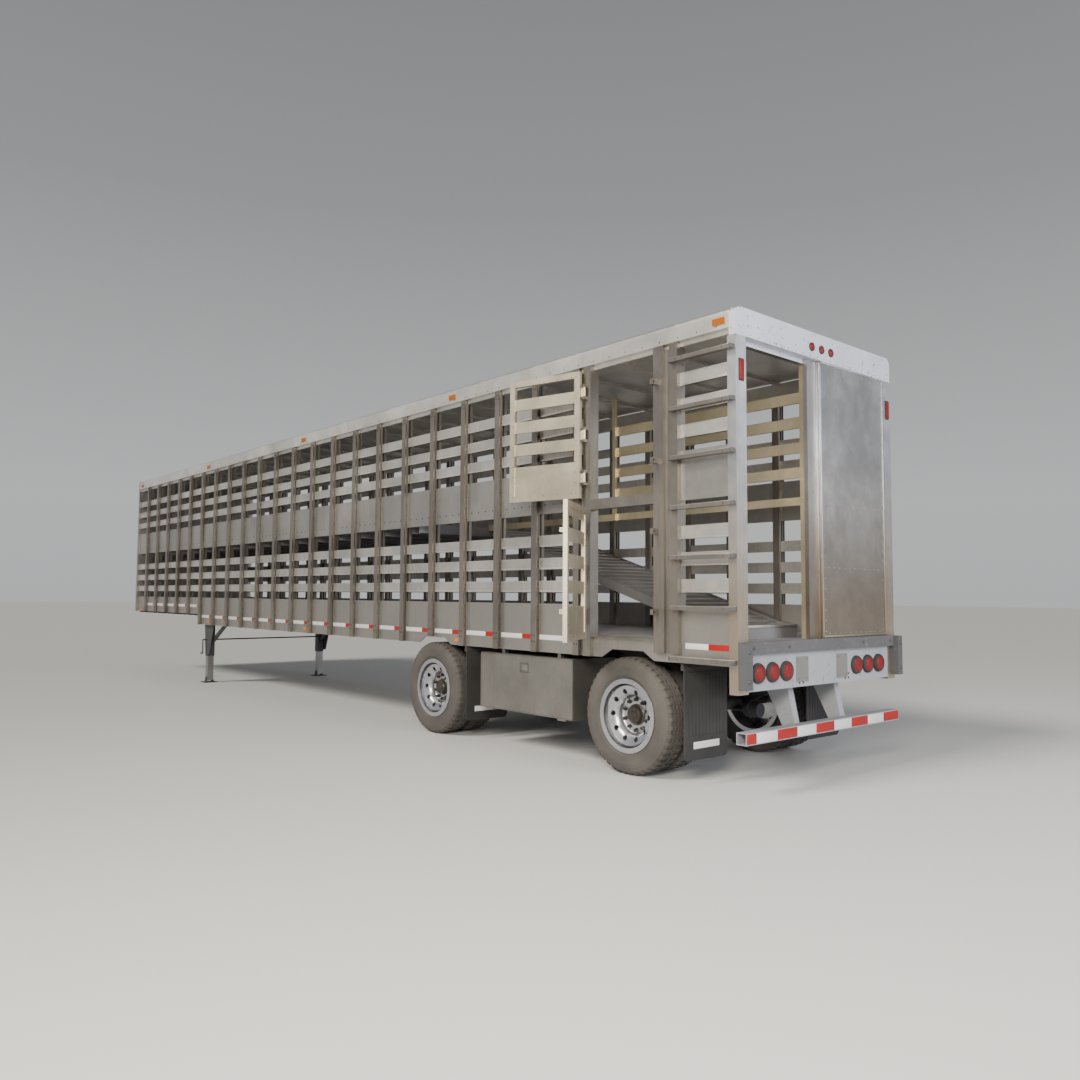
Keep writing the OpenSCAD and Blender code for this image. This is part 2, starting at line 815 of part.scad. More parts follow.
module lower_door_top_bolt() {
    color("dimgray") on_road() swing(lower_open) door_bolt(lower_z1 - bolt_inset);
}

module lower_door_bottom_bolt() {
    color("dimgray") on_road() swing(lower_open) door_bolt(lower_z0 + bolt_inset);
}

// Ramp down from the upper deck, hinged at the deck's rear edge
ramp_pin_r = 16;
ramp_hinge_x = deck_x - ramp_pin_r - move_gap;
ramp_hinge_z = deck_z - 20;
ramp_foot_x = 1040;
ramp_foot_z = floor_z + 19.6;
ramp_l = sqrt(pow(ramp_hinge_x - ramp_foot_x, 2) + pow(ramp_hinge_z - ramp_foot_z, 2));
ramp_angle = atan2(ramp_hinge_z - ramp_foot_z, ramp_hinge_x - ramp_foot_x);
ramp_y0 = -post_in + 12;
ramp_y1 = gate_y - 20;
ramp_rail_h = 105;

module ramp() {
    color("darkgray") on_road() translate([ramp_hinge_x, 0, ramp_hinge_z]) rotate([0, -ramp_angle, 0]) {
        span([-ramp_l + 60, ramp_y0 + 40, -30], [-16, ramp_y1 - 40, 0]);
        for (y = [ramp_y0, ramp_y1 - 40])
            side_plate([[-ramp_l, -20], [-ramp_l + 260, -85], [-16, -85], [-16, 20], [-ramp_l + 20, 20]], y, y + 40);
        rod_y(0, 0, ramp_pin_r, ramp_y0, ramp_y1);
    }
}

// ---- Tool box ----

module tool_box() {
    color("gray") on_road() {
        difference() {
            span([box_x, box_y - box_d, box_z], [box_x + box_l, box_y, box_z + box_h]);
            span([box_x + box_t, box_y - box_d + box_t, box_z + box_t],
                 [box_x + box_l - box_t, box_y + 1, box_z + box_h - box_t]);
        }
        // Hangers up to two crossmembers
        for (i = [ceil((box_x + 100 - first_cross_x) / cross_pitch), floor((box_x + box_l - 100 - first_cross_x) / cross_pitch)])
            for (y = [box_y - box_d + 30, box_y - 90]) {
                x = first_cross_x + i * cross_pitch;
                span([x - 25, y, box_z + box_h], [x + 25, y + 50, cross_z]);
            }
        // Ears and pins of the door's hinges
        for (x = lid_knuckle_xs) {
            for (a = [x - 13, x + lid_knuckle_l + 1])
                span([a, box_y - 20, lid_hinge_z - 8], [a + 12, box_y + 12, box_z]);
            rod_x(lid_hinge_y, lid_hinge_z, lid_pin_r, x - 5, x + lid_knuckle_l + 5);
        }
    }
}

lid_inset = 2;
lid_hinge_y = box_y + 7.5;
lid_hinge_z = box_z - 8;
lid_pin_r = 4;
lid_knuckle_l = 100;
lid_knuckle_xs = [box_x + 120, box_x + box_l - 120 - lid_knuckle_l];
latch_x = box_x + box_l / 2;
latch_z = box_z + box_h - 130;
latch_s = 104;

module tool_box_door() {
    color("darkgray") on_road() {
        difference() {
            span([box_x + lid_inset, box_y + move_gap, box_z + lid_inset],
                 [box_x + box_l - lid_inset, box_y + move_gap + lid_t, box_z + box_h - lid_inset]);
            // Window for the paddle
            span([latch_x - latch_s / 2, box_y - 1, latch_z - 35], [latch_x + latch_s / 2, box_y + lid_t + 2, latch_z + 36.5]);
        }
        for (x = lid_knuckle_xs) difference() {
            span([x, box_y + move_gap, lid_hinge_z - 8], [x + lid_knuckle_l, box_y + lid_t + 3, box_z + 12]);
            rod_x(lid_hinge_y, lid_hinge_z, lid_pin_r + run_gap, x - 1, x + lid_knuckle_l + 1);
        }
    }
}

module tool_box_latch() {
    color("dimgray") on_road() {
        w = latch_s / 2 - move_gap;
        span([latch_x - w, box_y + 4, latch_z - 34], [latch_x + w, box_y + lid_t - 2, latch_z + 34]);
    }
}

// ---- Mud flaps ----

flap_front_x = front_axle_x - 660;
flap_rear_x = rear_axle_x - 690;
flap_y1 = half_w - 45;
flap_top = rail_bottom - 5;

module mud_flaps() {
    color("black") on_road() both_sides() for (x = [flap_front_x, flap_rear_x])
        translate([x, flap_y1 - flap_w, flap_top - flap_h]) {
            r = 50;
            rotate([90, 0, 90]) linear_extrude(flap_t) union() {
                translate([0, r]) square([flap_w, flap_h - r]);
                translate([r, 0]) square([flap_w - 2 * r, r]);
                for (y = [r, flap_w - r]) translate([y, r]) circle(r = r);
            }
        }
}

module flap_hangers() {
    color("dimgray") on_road() both_sides() for (x = [flap_front_x, flap_rear_x]) {
        span([x + flap_t, flap_y1 - flap_w, flap_top - 60], [x + flap_t + 30, flap_y1, flap_top]);
        // Arm in to the nearest crossmember
        near_x = first_cross_x + cross_pitch * round((x - first_cross_x) / cross_pitch);
        span([min(x, near_x) - 20, flap_y1 - flap_w + 60, flap_top],
             [max(x, near_x) + flap_t + 60, flap_y1 - flap_w + 140, cross_z]);
    }
}

// ---- Landing gear ----

module leg_housing() {
    gusset_t = 8;
    difference() {
        span([leg_x - leg_s / 2, leg_y - leg_s / 2, leg_end], [leg_x + leg_s / 2, leg_y + leg_s / 2, cross_z]);
        span([leg_x - leg_s / 2 + leg_wall, leg_y - leg_s / 2 + leg_wall, leg_end - 1],
             [leg_x + leg_s / 2 - leg_wall, leg_y + leg_s / 2 - leg_wall, cross_z - leg_wall]);
        rod_y(leg_x, crank_z, shaft_r + move_gap, leg_y - leg_s, leg_y + leg_s);
    }
    // Side gusset and diagonal brace
    difference() {
        side_plate([[leg_x - 370, cross_z], [leg_x + 110, cross_z], [leg_x + 50, leg_end + 40], [leg_x - 150, leg_end + 40]],
                   leg_y + leg_s / 2, leg_y + leg_s / 2 + gusset_t);
        rod_y(leg_x, crank_z, shaft_r + move_gap, leg_y, leg_y + leg_s);
    }
    side_plate([[leg_x - leg_s / 2, 690], [leg_x - leg_s / 2, 760], [leg_x - 800, cross_z], [leg_x - 900, cross_z]],
               leg_y - 25, leg_y + 25);
}

module leg_housings() {
    color("gray") on_road() both_sides() leg_housing();
}

// Sliding inner leg, from its shoe pin to its top
module inner_leg() {
    difference() {
        span([leg_x - inner_s / 2, leg_y - inner_s / 2, 40], [leg_x + inner_s / 2, leg_y + inner_s / 2, leg_top]);
        span([leg_x - inner_s / 2 + 8, leg_y - inner_s / 2 + 8, 130],
             [leg_x + inner_s / 2 - 8, leg_y + inner_s / 2 - 8, leg_top + 1]);
        rod_y(leg_x, shoe_pin_z, shoe_pin_r + run_gap, leg_y - leg_s, leg_y + leg_s);
    }
}

module left_leg() {
    color("darkgray") on_road() inner_leg();
}

module right_leg() {
    color("darkgray") on_road() mirror([0, 1, 0]) inner_leg();
}

// Sand shoe: plate, two ears and the pin
module sand_shoe() {
    ear_y = inner_s / 2 + move_gap;
    span([leg_x - shoe_s / 2, leg_y - shoe_s / 2, 0], [leg_x + shoe_s / 2, leg_y + shoe_s / 2, shoe_t]);
    for (s = [-1, 1])
        side_plate([[leg_x - 60, shoe_t], [leg_x + 60, shoe_t], [leg_x + 25, 105], [leg_x - 25, 105]],
                   leg_y + (s > 0 ? ear_y : -ear_y - ear_t), leg_y + (s > 0 ? ear_y + ear_t : -ear_y));
    rod_y(leg_x, shoe_pin_z, shoe_pin_r, leg_y - ear_y - ear_t - 4, leg_y + ear_y + ear_t + 4);
}

module left_foot() {
    color("dimgray") on_road() sand_shoe();
}

module right_foot() {
    color("dimgray") on_road() mirror([0, 1, 0]) sand_shoe();
}

// Crank handle on the left leg and the shaft across to the right leg
module leg_crank() {
    y0 = leg_y + leg_s / 2 - leg_wall;
    y1 = half_w - 40;
    color("dimgray") on_road() {
        rod_y(leg_x, crank_z, shaft_r, y0, y1);
        span([leg_x - 14, y1 - 12, crank_z - 260], [leg_x + 14, y1, crank_z]);
        rod_y(leg_x, crank_z - 246, 12, y1, y1 + 35);
        rod_y(leg_x, crank_z, shaft_r, -leg_y + leg_s / 2 - leg_wall, leg_y - leg_s / 2 + leg_wall);
    }
}

// ---- Running gear ----

// Subframe beams and the pivot hangers of both axles
module suspension_frame() {
    color("dimgray") on_road() {
        both_sides()
            span([150 + 290, beam_y - beam_w / 2, beam_z], [front_axle_x + arm_l + 150, beam_y + beam_w / 2, cross_z]);
        both_sides() for (x = [rear_axle_x, front_axle_x]) for (y = [beam_y - 45, beam_y + 33])
            difference() {
                side_plate([
                    [x + arm_l - 110, beam_z], [x + arm_l + 110, beam_z],
                    [x + arm_l + 45, pivot_z - 50], [x + arm_l - 45, pivot_z - 50]
                ], y, y + 12);
                rod_y(x + arm_l, pivot_z, pivot_r + run_gap, y - 1, y + 13);
            }
    }
}

// Axle tube with its spindles, arms, pivot pins, spring seats and brake chambers
module axle(x) {
    rod_y(x, tyre_r, axle_r, -inner_y + 120, inner_y - 120);
    both_sides() {
        rod_y(x, tyre_r, spindle_r, inner_y - 120, mount_y + 20);
        side_plate([
            [x + arm_l + 42, pivot_z - 42], [x + arm_l + 42, pivot_z + 42], [x + arm_l - 60, pivot_z + 42],
            [x + 90, tyre_r + 100], [x - spring_back - 60, seat_z], [x - spring_back - 60, seat_z - 40],
            [x - spring_back + 60, seat_z - 60], [x - 70, tyre_r - 30], [x - 70, tyre_r - 90], [x + 90, tyre_r - 90]
        ], beam_y - 32, beam_y + 32);
        rod_y(x + arm_l, pivot_z, pivot_r, beam_y - 52, beam_y + 52);
        span([x - spring_back - 60, beam_y - 60, seat_z - 12], [x - spring_back + 60, beam_y + 60, seat_z]);
        rod_x(250, tyre_r + 130, 75, x + 40, x + 200);
        span([x + 30, 210, tyre_r], [x + 50, 290, tyre_r + 120]);
    }
}

module front_axle() {
    color("dimgray") on_road() axle(front_axle_x);
}

module rear_axle() {
    color("dimgray") on_road() axle(rear_axle_x);
}

module air_springs(x) {
    both_sides() translate([x - spring_back, beam_y, seat_z]) cylinder(r = spring_r, h = beam_z - seat_z);
}

module front_air_springs() {
    color("black") on_road() air_springs(front_axle_x);
}

module rear_air_springs() {
    color("black") on_road() air_springs(rear_axle_x);
}

// Section of a tyre: radius along X, half width along Y
module tyre_section() {
    w = tyre_w / 2;
    polygon([
        [seat_r + move_gap, -w + 28], [rim_r + 3, -w + 28], [rim_r + 16, -w + 14], [rim_r + 85, -w], [tyre_r - 70, -w + 8],
        [tyre_r - 18, -w + 26], [tyre_r, -w + 48], [tyre_r, w - 48], [tyre_r - 18, w - 26],
        [tyre_r - 70, w - 8], [rim_r + 85, w], [rim_r + 16, w - 14], [rim_r + 3, w - 28], [seat_r + move_gap, w - 28],
        [seat_r + move_gap, w - 60], [seat_r + 40, w - 45], [tyre_r - 50, w - 60],
        [tyre_r - 50, -w + 60], [seat_r + 40, -w + 45], [seat_r + move_gap, -w + 60]
    ]);
}

module tyre(y) {
    translate([0, y, tyre_r]) rotate([90, 0, 0]) rotate_extrude($fn = 96) tyre_section();
}

module tyres(x) {
    translate([x, 0, 0]) {
        tyre(outer_y);
        tyre(inner_y);
    }
}

module front_left_tyres() {
    color("dimgray") on_road() tyres(front_axle_x);
}

module front_right_tyres() {
    color("dimgray") on_road() mirror([0, 1, 0]) tyres(front_axle_x);
}

module rear_left_tyres() {
    color("dimgray") on_road() tyres(rear_axle_x);
}

module rear_right_tyres() {
    color("dimgray") on_road() mirror([0, 1, 0]) tyres(rear_axle_x);
}

// Section of a rim: radius along X, distance from the mounting face along Y
module rim_section() {
    lip = dual_gap / 2 + tyre_w / 2 - 28 + move_gap;
    back = dual_gap / 2 - tyre_w / 2 + 28 - move_gap;
    translate([seat_r - barrel_t, back]) square([barrel_t, lip - back]);
    translate([seat_r - barrel_t, lip]) square([rim_r - seat_r + barrel_t, 10]);
    translate([seat_r - barrel_t, back - 10]) square([rim_r - seat_r + barrel_t, 10]);
    translate([hub_r + 0.5, 0.1]) square([seat_r - barrel_t - hub_r - 0.5, disc_t]);
    translate([seat_r - 2 * barrel_t + 1, 0.1]) square([barrel_t, back + 8]);
}

// A rim with its disc on the mounting face, hand holes and stud holes; side is +1 or -1
module rim(side) {
    mirror([0, side > 0 ? 0 : 1, 0]) rotate([-90, 0, 0]) difference() {
        rotate_extrude($fn = 96) rim_section();
        for (i = [0 : stud_n - 1]) rotate([0, 0, i * 360 / stud_n]) {
            translate([225, 0, -1]) cylinder(r = 29, h = disc_t + 2);
            rotate([0, 0, 18]) translate([stud_circle_r, 0, -1]) cylinder(r = 13, h = disc_t + 2);
        }
    }
}

// Hub with its drum flange, studs, nuts and oil cap
module hub() {
    cap_y = 165;
    rotate([-90, 0, 0]) {
        difference() {
            union() {
                translate([0, 0, -disc_t - 60]) cylinder(r = hub_r, h = disc_t + 60 + 60);
                translate([0, 0, 60]) cylinder(r = 82, h = cap_y - 60);
                translate([0, 0, -disc_t - 60]) cylinder(r = 205, h = 20);
            }
            translate([0, 0, -disc_t - 61]) cylinder(r = spindle_r + run_gap, h = disc_t + 61 + 21);
        }
        for (i = [0 : stud_n - 1]) rotate([0, 0, 18 + i * 360 / stud_n]) translate([stud_circle_r, 0, 0]) {
            translate([0, 0, -disc_t - 40]) cylinder(r = 11, h = 2 * disc_t + 80);
            translate([0, 0, disc_t + 0.3]) cylinder(r = 17, h = 26, $fn = 6);
        }
    }
}

module wheel_set(x) {
    translate([x, mount_y, tyre_r]) {
        rim(1);
        rim(-1);
        hub();
    }
}

module front_left_wheels() {
    color("gainsboro") on_road() wheel_set(front_axle_x);
}

module front_right_wheels() {
    color("gainsboro") on_road() mirror([0, 1, 0]) wheel_set(front_axle_x);
}

module rear_left_wheels() {
    color("gainsboro") on_road() wheel_set(rear_axle_x);
}

module rear_right_wheels() {
    color("gainsboro") on_road() mirror([0, 1, 0]) wheel_set(rear_axle_x);
}

roof_sheet();
roof_bows();
top_rails();
front_wall();
rear_header();
side_posts_left();
side_posts_right();
slats_left();
slats_right();
belt_panels();
kick_panels();
side_rails();
floor_plates();
crossmembers();
upper_deck();
centre_gate();
coupler_plate();
kingpin();
corner_posts();
side_door_frame();
rear_panel();
sill_plate();
corner_bumpers();
rear_guard();
ladder_rungs();
red_lamps();
amber_lamps();
plate_brackets();
slide_door();
upper_door();
lower_door();
upper_door_top_bolt();
upper_door_bottom_bolt();
lower_door_top_bolt();
lower_door_bottom_bolt();
ramp();
tool_box();
tool_box_door();
tool_box_latch();
mud_flaps();
flap_hangers();
leg_housings();
left_leg();
right_leg();
left_foot();
right_foot();
leg_crank();
suspension_frame();
front_axle();
rear_axle();
front_air_springs();
rear_air_springs();
front_left_tyres();
front_right_tyres();
rear_left_tyres();
rear_right_tyres();
front_left_wheels();
front_right_wheels();
rear_left_wheels();
rear_right_wheels();
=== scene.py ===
"""A two-deck aluminium livestock semitrailer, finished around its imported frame.

+X points to the nose, +Y to the side with the doors, +Z up, and the kingpin is at the origin.
"""
import json
import math

import bmesh
import bpy
from mathutils import Matrix, Vector


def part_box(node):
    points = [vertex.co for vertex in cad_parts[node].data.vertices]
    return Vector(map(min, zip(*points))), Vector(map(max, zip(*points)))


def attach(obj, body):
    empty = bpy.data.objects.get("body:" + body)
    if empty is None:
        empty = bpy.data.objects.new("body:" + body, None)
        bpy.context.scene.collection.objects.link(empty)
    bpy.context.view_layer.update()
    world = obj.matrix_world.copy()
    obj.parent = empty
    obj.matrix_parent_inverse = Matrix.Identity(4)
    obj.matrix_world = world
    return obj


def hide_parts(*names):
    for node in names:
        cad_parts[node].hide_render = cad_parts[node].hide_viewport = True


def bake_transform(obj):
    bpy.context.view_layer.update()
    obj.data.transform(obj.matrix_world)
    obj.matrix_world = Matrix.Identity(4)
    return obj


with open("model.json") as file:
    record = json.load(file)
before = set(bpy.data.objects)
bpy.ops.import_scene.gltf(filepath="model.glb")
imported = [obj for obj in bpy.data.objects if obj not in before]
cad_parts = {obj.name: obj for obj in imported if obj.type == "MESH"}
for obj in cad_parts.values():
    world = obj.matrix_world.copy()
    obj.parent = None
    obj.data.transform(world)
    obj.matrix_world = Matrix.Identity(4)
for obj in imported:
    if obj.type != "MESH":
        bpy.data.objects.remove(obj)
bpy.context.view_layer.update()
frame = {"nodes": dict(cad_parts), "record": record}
NODES = frame["nodes"]


# ---- Places and sizes, in metres from the rear face and the road ----

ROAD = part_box("left_foot")[0].z
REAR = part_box("corner_posts")[0].x
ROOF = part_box("top_rails")[1].z


def road(x, y, z):
    """A place measured from the body's rear face and from the road."""
    return Vector((REAR + x, y, ROAD + z))


# Faces and stations along the body.
LEFT, RIGHT, BACK, AHEAD, UP = (0, 1, 0), (0, -1, 0), (-1, 0, 0), (1, 0, 0), (0, 0, 1)
SIDES = (1, -1)
WALL = 1.245
NOSE = 16.094
DROP = 12.282
POST_PITCH = 0.6455
POST_FACE = 1.295
POSTS = [1.954 + POST_PITCH * i for i in range(22)]
SLAT_TOPS = [3.655, 3.419, 3.183, 2.280, 2.044, 1.808]
SLAT_H = 0.118
AXLES = {"front": 4.485, "rear": 1.295}
HUB = 0.543
SILL_LIP = 1.174


def spread(start, end, count):
    """Evenly spaced values from start to end."""
    return [start + (end - start) * i / (count - 1) for i in range(count)]


# ---- Camera, floor and light ----


def make_camera():
    """Stands behind the rear left corner, at a person's height, and looks up along the side."""
    data = bpy.data.cameras.new("camera")
    data.sensor_width = 36
    data.lens = 29.38
    data.clip_end = 200
    camera = bpy.data.objects.new("camera", data)
    bpy.context.scene.collection.objects.link(camera)
    yaw, pitch, roll = -0.712, 0.062, 0.006
    ahead = Vector((math.cos(pitch) * math.cos(yaw), math.cos(pitch) * math.sin(yaw), math.sin(pitch)))
    right = Vector((math.sin(yaw), -math.cos(yaw), 0))
    up = right.cross(ahead)
    side = math.cos(roll) * right + math.sin(roll) * up
    top = math.cos(roll) * up - math.sin(roll) * right
    turn = Matrix((side, top, -ahead)).transposed().to_4x4()
    camera.matrix_world = Matrix.Translation(road(-4.444, 7.285, 1.663)) @ turn
    bpy.context.scene.camera = camera


def area_light(name, place, target, size, power, colour):
    """A square lamp at a place, turned to its target."""
    data = bpy.data.lights.new(name, "AREA")
    data.size = size
    data.energy = power
    data.color = colour
    lamp = bpy.data.objects.new(name, data)
    lamp.location = place
    lamp.rotation_euler = (target - place).to_track_quat("-Z", "Y").to_euler()
    bpy.context.scene.collection.objects.link(lamp)


def make_stage():
    """Paper floor, a studio sky that is brightest at the horizon, a soft sun and two lamps."""
    size = 150
    mesh = bpy.data.meshes.new("floor")
    corners = [(-size, -size), (size, -size), (size, size), (-size, size)]
    mesh.from_pydata([(x, y, ROAD) for x, y in corners], [], [(0, 1, 2, 3)])
    floor = bpy.data.objects.new("floor", mesh)
    bpy.context.scene.collection.objects.link(floor)
    finish = Finish("floor_paper", (0.62, 0.62, 0.61), 0.85)
    floor.data.materials.append(finish.material)

    world = bpy.data.worlds.new("studio")
    bpy.context.scene.world = world
    world.use_nodes = True
    sky = world.node_tree.nodes["Background"]
    links, nodes = world.node_tree.links, world.node_tree.nodes
    where = nodes.new("ShaderNodeTexCoord")
    parts = nodes.new("ShaderNodeSeparateXYZ")
    ramp = nodes.new("ShaderNodeValToRGB")
    links.new(where.outputs["Generated"], parts.inputs[0])
    links.new(parts.outputs["Z"], ramp.inputs[0])
    levels = ((0.0, 0.90), (0.10, 0.95), (0.40, 0.55), (0.9, 0.25))
    for _ in levels[2:]:
        ramp.color_ramp.elements.new(0.5)
    for element, (place, level) in zip(ramp.color_ramp.elements, levels):
        element.position = place
        element.color = (level * 0.97, level * 0.985, level, 1)
    links.new(ramp.outputs[0], sky.inputs["Color"])
    sky.inputs["Strength"].default_value = 0.6

    sun = bpy.data.lights.new("key", "SUN")
    sun.energy = 2.6
    sun.angle = 0.3
    sun.color = (1, 0.94, 0.85)
    key = bpy.data.objects.new("key", sun)
    key.rotation_euler = Vector((-0.15, -1.0, -0.95)).to_track_quat("-Z", "Y").to_euler()
    bpy.context.scene.collection.objects.link(key)
    area_light("rear_fill", road(-11, -2, 5), road(0, 0, 2.2), 6, 1100, (0.88, 0.92, 1))
    area_light("corner_glow", road(-5, 9, 5), road(1, 1, 2.6), 3, 1300, (1, 0.93, 0.82))


# ---- Shader maths ----


class Wire:
    """A shader socket that can be added, multiplied and compared."""

    def __init__(self, finish, socket):
        self.finish = finish
        self.socket = socket

    def _math(self, operation, a, b=None):
        sockets = {0: a} if b is None else {0: a, 1: b}
        return self.finish.add("ShaderNodeMath", {"operation": operation}, sockets)

    def __add__(self, other):
        return self._math("ADD", self, other)

    __radd__ = __add__

    def __sub__(self, other):
        return self._math("SUBTRACT", self, other)

    def __rsub__(self, other):
        return self._math("SUBTRACT", other, self)

    def __mul__(self, other):
        return self._math("MULTIPLY", self, other)

    __rmul__ = __mul__

    def __gt__(self, other):
        return self._math("GREATER_THAN", self, other)

    def wave(self):
        """Its sine."""
        return self._math("SINE", self)

    def size(self):
        """Its value without the sign."""
        return self._math("ABSOLUTE", self)


class Finish:
    """A material with one Principled shader, built socket by socket."""

    def __init__(self, name, colour, roughness, metallic=0.0):
        self.material = bpy.data.materials.new(name)
        self.material.use_nodes = True
        self.tree = self.material.node_tree
        self.shader = self.tree.nodes["Principled BSDF"]
        self.shader.inputs["Base Color"].default_value = (*colour, 1)
        self.shader.inputs["Roughness"].default_value = roughness
        self.shader.inputs["Metallic"].default_value = metallic

    def add(self, kind, settings, sockets, out=0):
        """One node: its settings first, then the values or links of its sockets."""
        node = self.tree.nodes.new(kind)
        for key, value in settings.items():
            if key == "stops":
                self._stops(node.color_ramp, value)
            else:
                setattr(node, key, value)
        for key, value in sockets.items():
            self.feed(node.inputs[key], value)
        return Wire(self, node.outputs[out])

    def feed(self, socket, value):
        """Links a wire to a socket, or sets a number or a colour there."""
        if isinstance(value, Wire):
            self.tree.links.new(value.socket, socket)
        elif hasattr(socket.default_value, "__len__") and len(socket.default_value) == 4:
            socket.default_value = (*value[:3], 1)
        else:
            socket.default_value = value

    def _stops(self, ramp, stops):
        while len(ramp.elements) < len(stops):
            ramp.elements.new(0.5)
        for element, (place, level) in zip(ramp.elements, stops):
            element.position = place
            element.color = (level, level, level, 1)

    def place(self):
        """The piece's own coordinates and their three parts."""
        at = self.add("ShaderNodeTexCoord", {}, {}, "Object")
        split = self.add("ShaderNodeSeparateXYZ", {}, {0: at})
        parts = [Wire(self, split.socket.node.outputs[i]) for i in range(3)]
        return at, *parts

    def noise(self, at, scale, stretch=(1, 1, 1), detail=3, rough=0.5):
        """Noise that is drawn out along an axis where its stretch is under 1."""
        spot = self.add("ShaderNodeMapping", {}, {"Vector": at, "Scale": stretch})
        return self.add("ShaderNodeTexNoise", {},
                        {"Vector": spot, "Scale": scale, "Detail": detail, "Roughness": rough})

    def ramp(self, value, *stops):
        """A grey ramp through (place, level) stops."""
        return self.add("ShaderNodeValToRGB", {"stops": stops}, {0: value})

    def mix(self, mask, a, b):
        """Colour a where the mask is 0 and b where it is 1."""
        return self.add("ShaderNodeMix", {"data_type": "RGBA"}, {0: mask, 6: a, 7: b}, 2)

    def colour(self, value):
        self.feed(self.shader.inputs["Base Color"], value)

    def rough(self, value):
        self.feed(self.shader.inputs["Roughness"], value)

    def metal(self, value):
        self.feed(self.shader.inputs["Metallic"], value)

    def bump(self, height, distance, strength=1.0):
        """Surface relief of a distance in metres."""
        normal = self.add("ShaderNodeBump", {},
                          {"Height": height, "Distance": distance, "Strength": strength})
        self.feed(self.shader.inputs["Normal"], normal)


def scaled(colour, factor):
    """A colour made lighter or darker."""
    return tuple(min(1, c * factor) for c in colour)


def aged_metal(name, colour, stain=(0.13, 0.11, 0.09), streaks=0.35, spots=0.4, roughness=0.4,
               metallic=0.85, low_tone=None):
    """Mill-finish metal: oxide clouds, soft rain runs, grime, pits and brushed grain.

    low_tone is the colour it turns towards near the ground.
    """
    f = Finish(name, colour, roughness, metallic)
    at, _, _, z = f.place()
    clouds = f.ramp(f.noise(at, 1.1, detail=6, rough=0.68), (0.34, 0), (0.68, 1))
    mottle = f.ramp(f.noise(at, 7, detail=5, rough=0.7), (0.35, 0), (0.7, 1))
    runs = f.ramp(f.noise(at, 5, (1, 1, 0.12), detail=5, rough=0.75), (0.50, 0), (0.78, 1)) * streaks
    grain = f.noise(at, 90, (1, 1, 0.3), detail=2)
    pits = f.noise(at, 34, detail=4, rough=0.8)
    pit_mask = f.ramp(pits, (0.63, 0), (0.70, 1)) * spots
    base = f.mix(clouds, scaled(colour, 0.72), scaled(colour, 1.12))
    base = f.mix(mottle * 0.35, base, scaled(colour, 0.8))
    if low_tone:
        height = f.ramp((z - (ROAD + 1.4)) * 0.45, (0.05, 1), (0.75, 0))
        base = f.mix(height * 0.8, base, low_tone)
    base = f.mix(runs, base, stain)
    base = f.mix(pit_mask, base, scaled(stain, 0.6))
    f.colour(base)
    f.rough(roughness + clouds * 0.1 - mottle * 0.08 + runs * 0.25 + grain * 0.06)
    f.metal(metallic - runs * 0.4 - pit_mask * 0.4)
    f.bump(grain * 0.3 + pits, 0.0005, 0.4)
    return f.material


def chipped_paint(name, colour, chip=(0.3, 0.28, 0.26), wear=0.5, roughness=0.45):
    """Satin paint over metal, chipped and dusty."""
    f = Finish(name, colour, roughness, 0.1)
    at, *_ = f.place()
    chips = f.ramp(f.noise(at, 18, detail=5, rough=0.7), (0.62, 0), (0.66, 1)) * wear
    clouds = f.noise(at, 2.2, (1, 1, 0.4), detail=4, rough=0.6)
    dust = f.ramp(clouds, (0.3, 0), (0.75, 1))
    base = f.mix(dust * 0.6, colour, scaled(colour, 1.25))
    f.colour(f.mix(chips, base, chip))
    f.rough(roughness + dust * 0.15 + chips * 0.15)
    f.metal(0.1 + chips * 0.5)
    f.bump(clouds * 0.3 - chips, 0.0005, 0.6)
    return f.material


def two_tone(name, colour, lip_colour):
    """Painted sill: the channel along its top edge is darker than the plate below."""
    f = Finish(name, colour, 0.5, 0.1)
    at, _, _, z = f.place()
    lip = z > (ROAD + SILL_LIP)
    chips = f.ramp(f.noise(at, 20, detail=5, rough=0.7), (0.60, 0), (0.65, 1)) * 0.7
    dust = f.ramp(f.noise(at, 2.2, (1, 1, 0.4), detail=4, rough=0.6), (0.3, 0), (0.75, 1))
    plate = f.mix(dust * 0.6, colour, scaled(colour, 1.3))
    channel = f.mix(dust * 0.6, lip_colour, scaled(lip_colour, 1.5))
    f.colour(f.mix(chips, f.mix(lip, plate, channel), (0.2, 0.19, 0.18)))
    f.rough(0.45 + dust * 0.2)
    f.bump(dust * 0.3 - chips, 0.0005, 0.6)
    return f.material


def tread_plate(name, colour):
    """Ribbed floor plank, polished by hooves on its ribs and dusty between them."""
    f = Finish(name, colour, 0.5, 0.6)
    at, x, y, _ = f.place()
    ribs = f.ramp((y * 160).wave() * 0.5 + 0.5, (0.35, 0), (0.6, 1))
    cross = f.ramp((x * 160).wave() * 0.5 + 0.5, (0.7, 0), (0.8, 1))
    dirt = f.ramp(f.noise(at, 1.4, detail=5, rough=0.6), (0.35, 0), (0.7, 1))
    normal = f.add("ShaderNodeNewGeometry", {}, {}, "Normal")
    facing_up = f.add("ShaderNodeSeparateXYZ", {}, {0: normal}, 2)
    ribs = ribs * (facing_up.size() > 0.5)
    base = f.mix(ribs, scaled(colour, 0.7), scaled(colour, 1.15))
    f.colour(f.mix(dirt * 0.5, base, (0.24, 0.21, 0.18)))
    f.rough(0.62 - ribs * 0.15 + dirt * 0.15)
    f.bump(ribs - cross * 0.5, 0.002, 0.8)
    return f.material


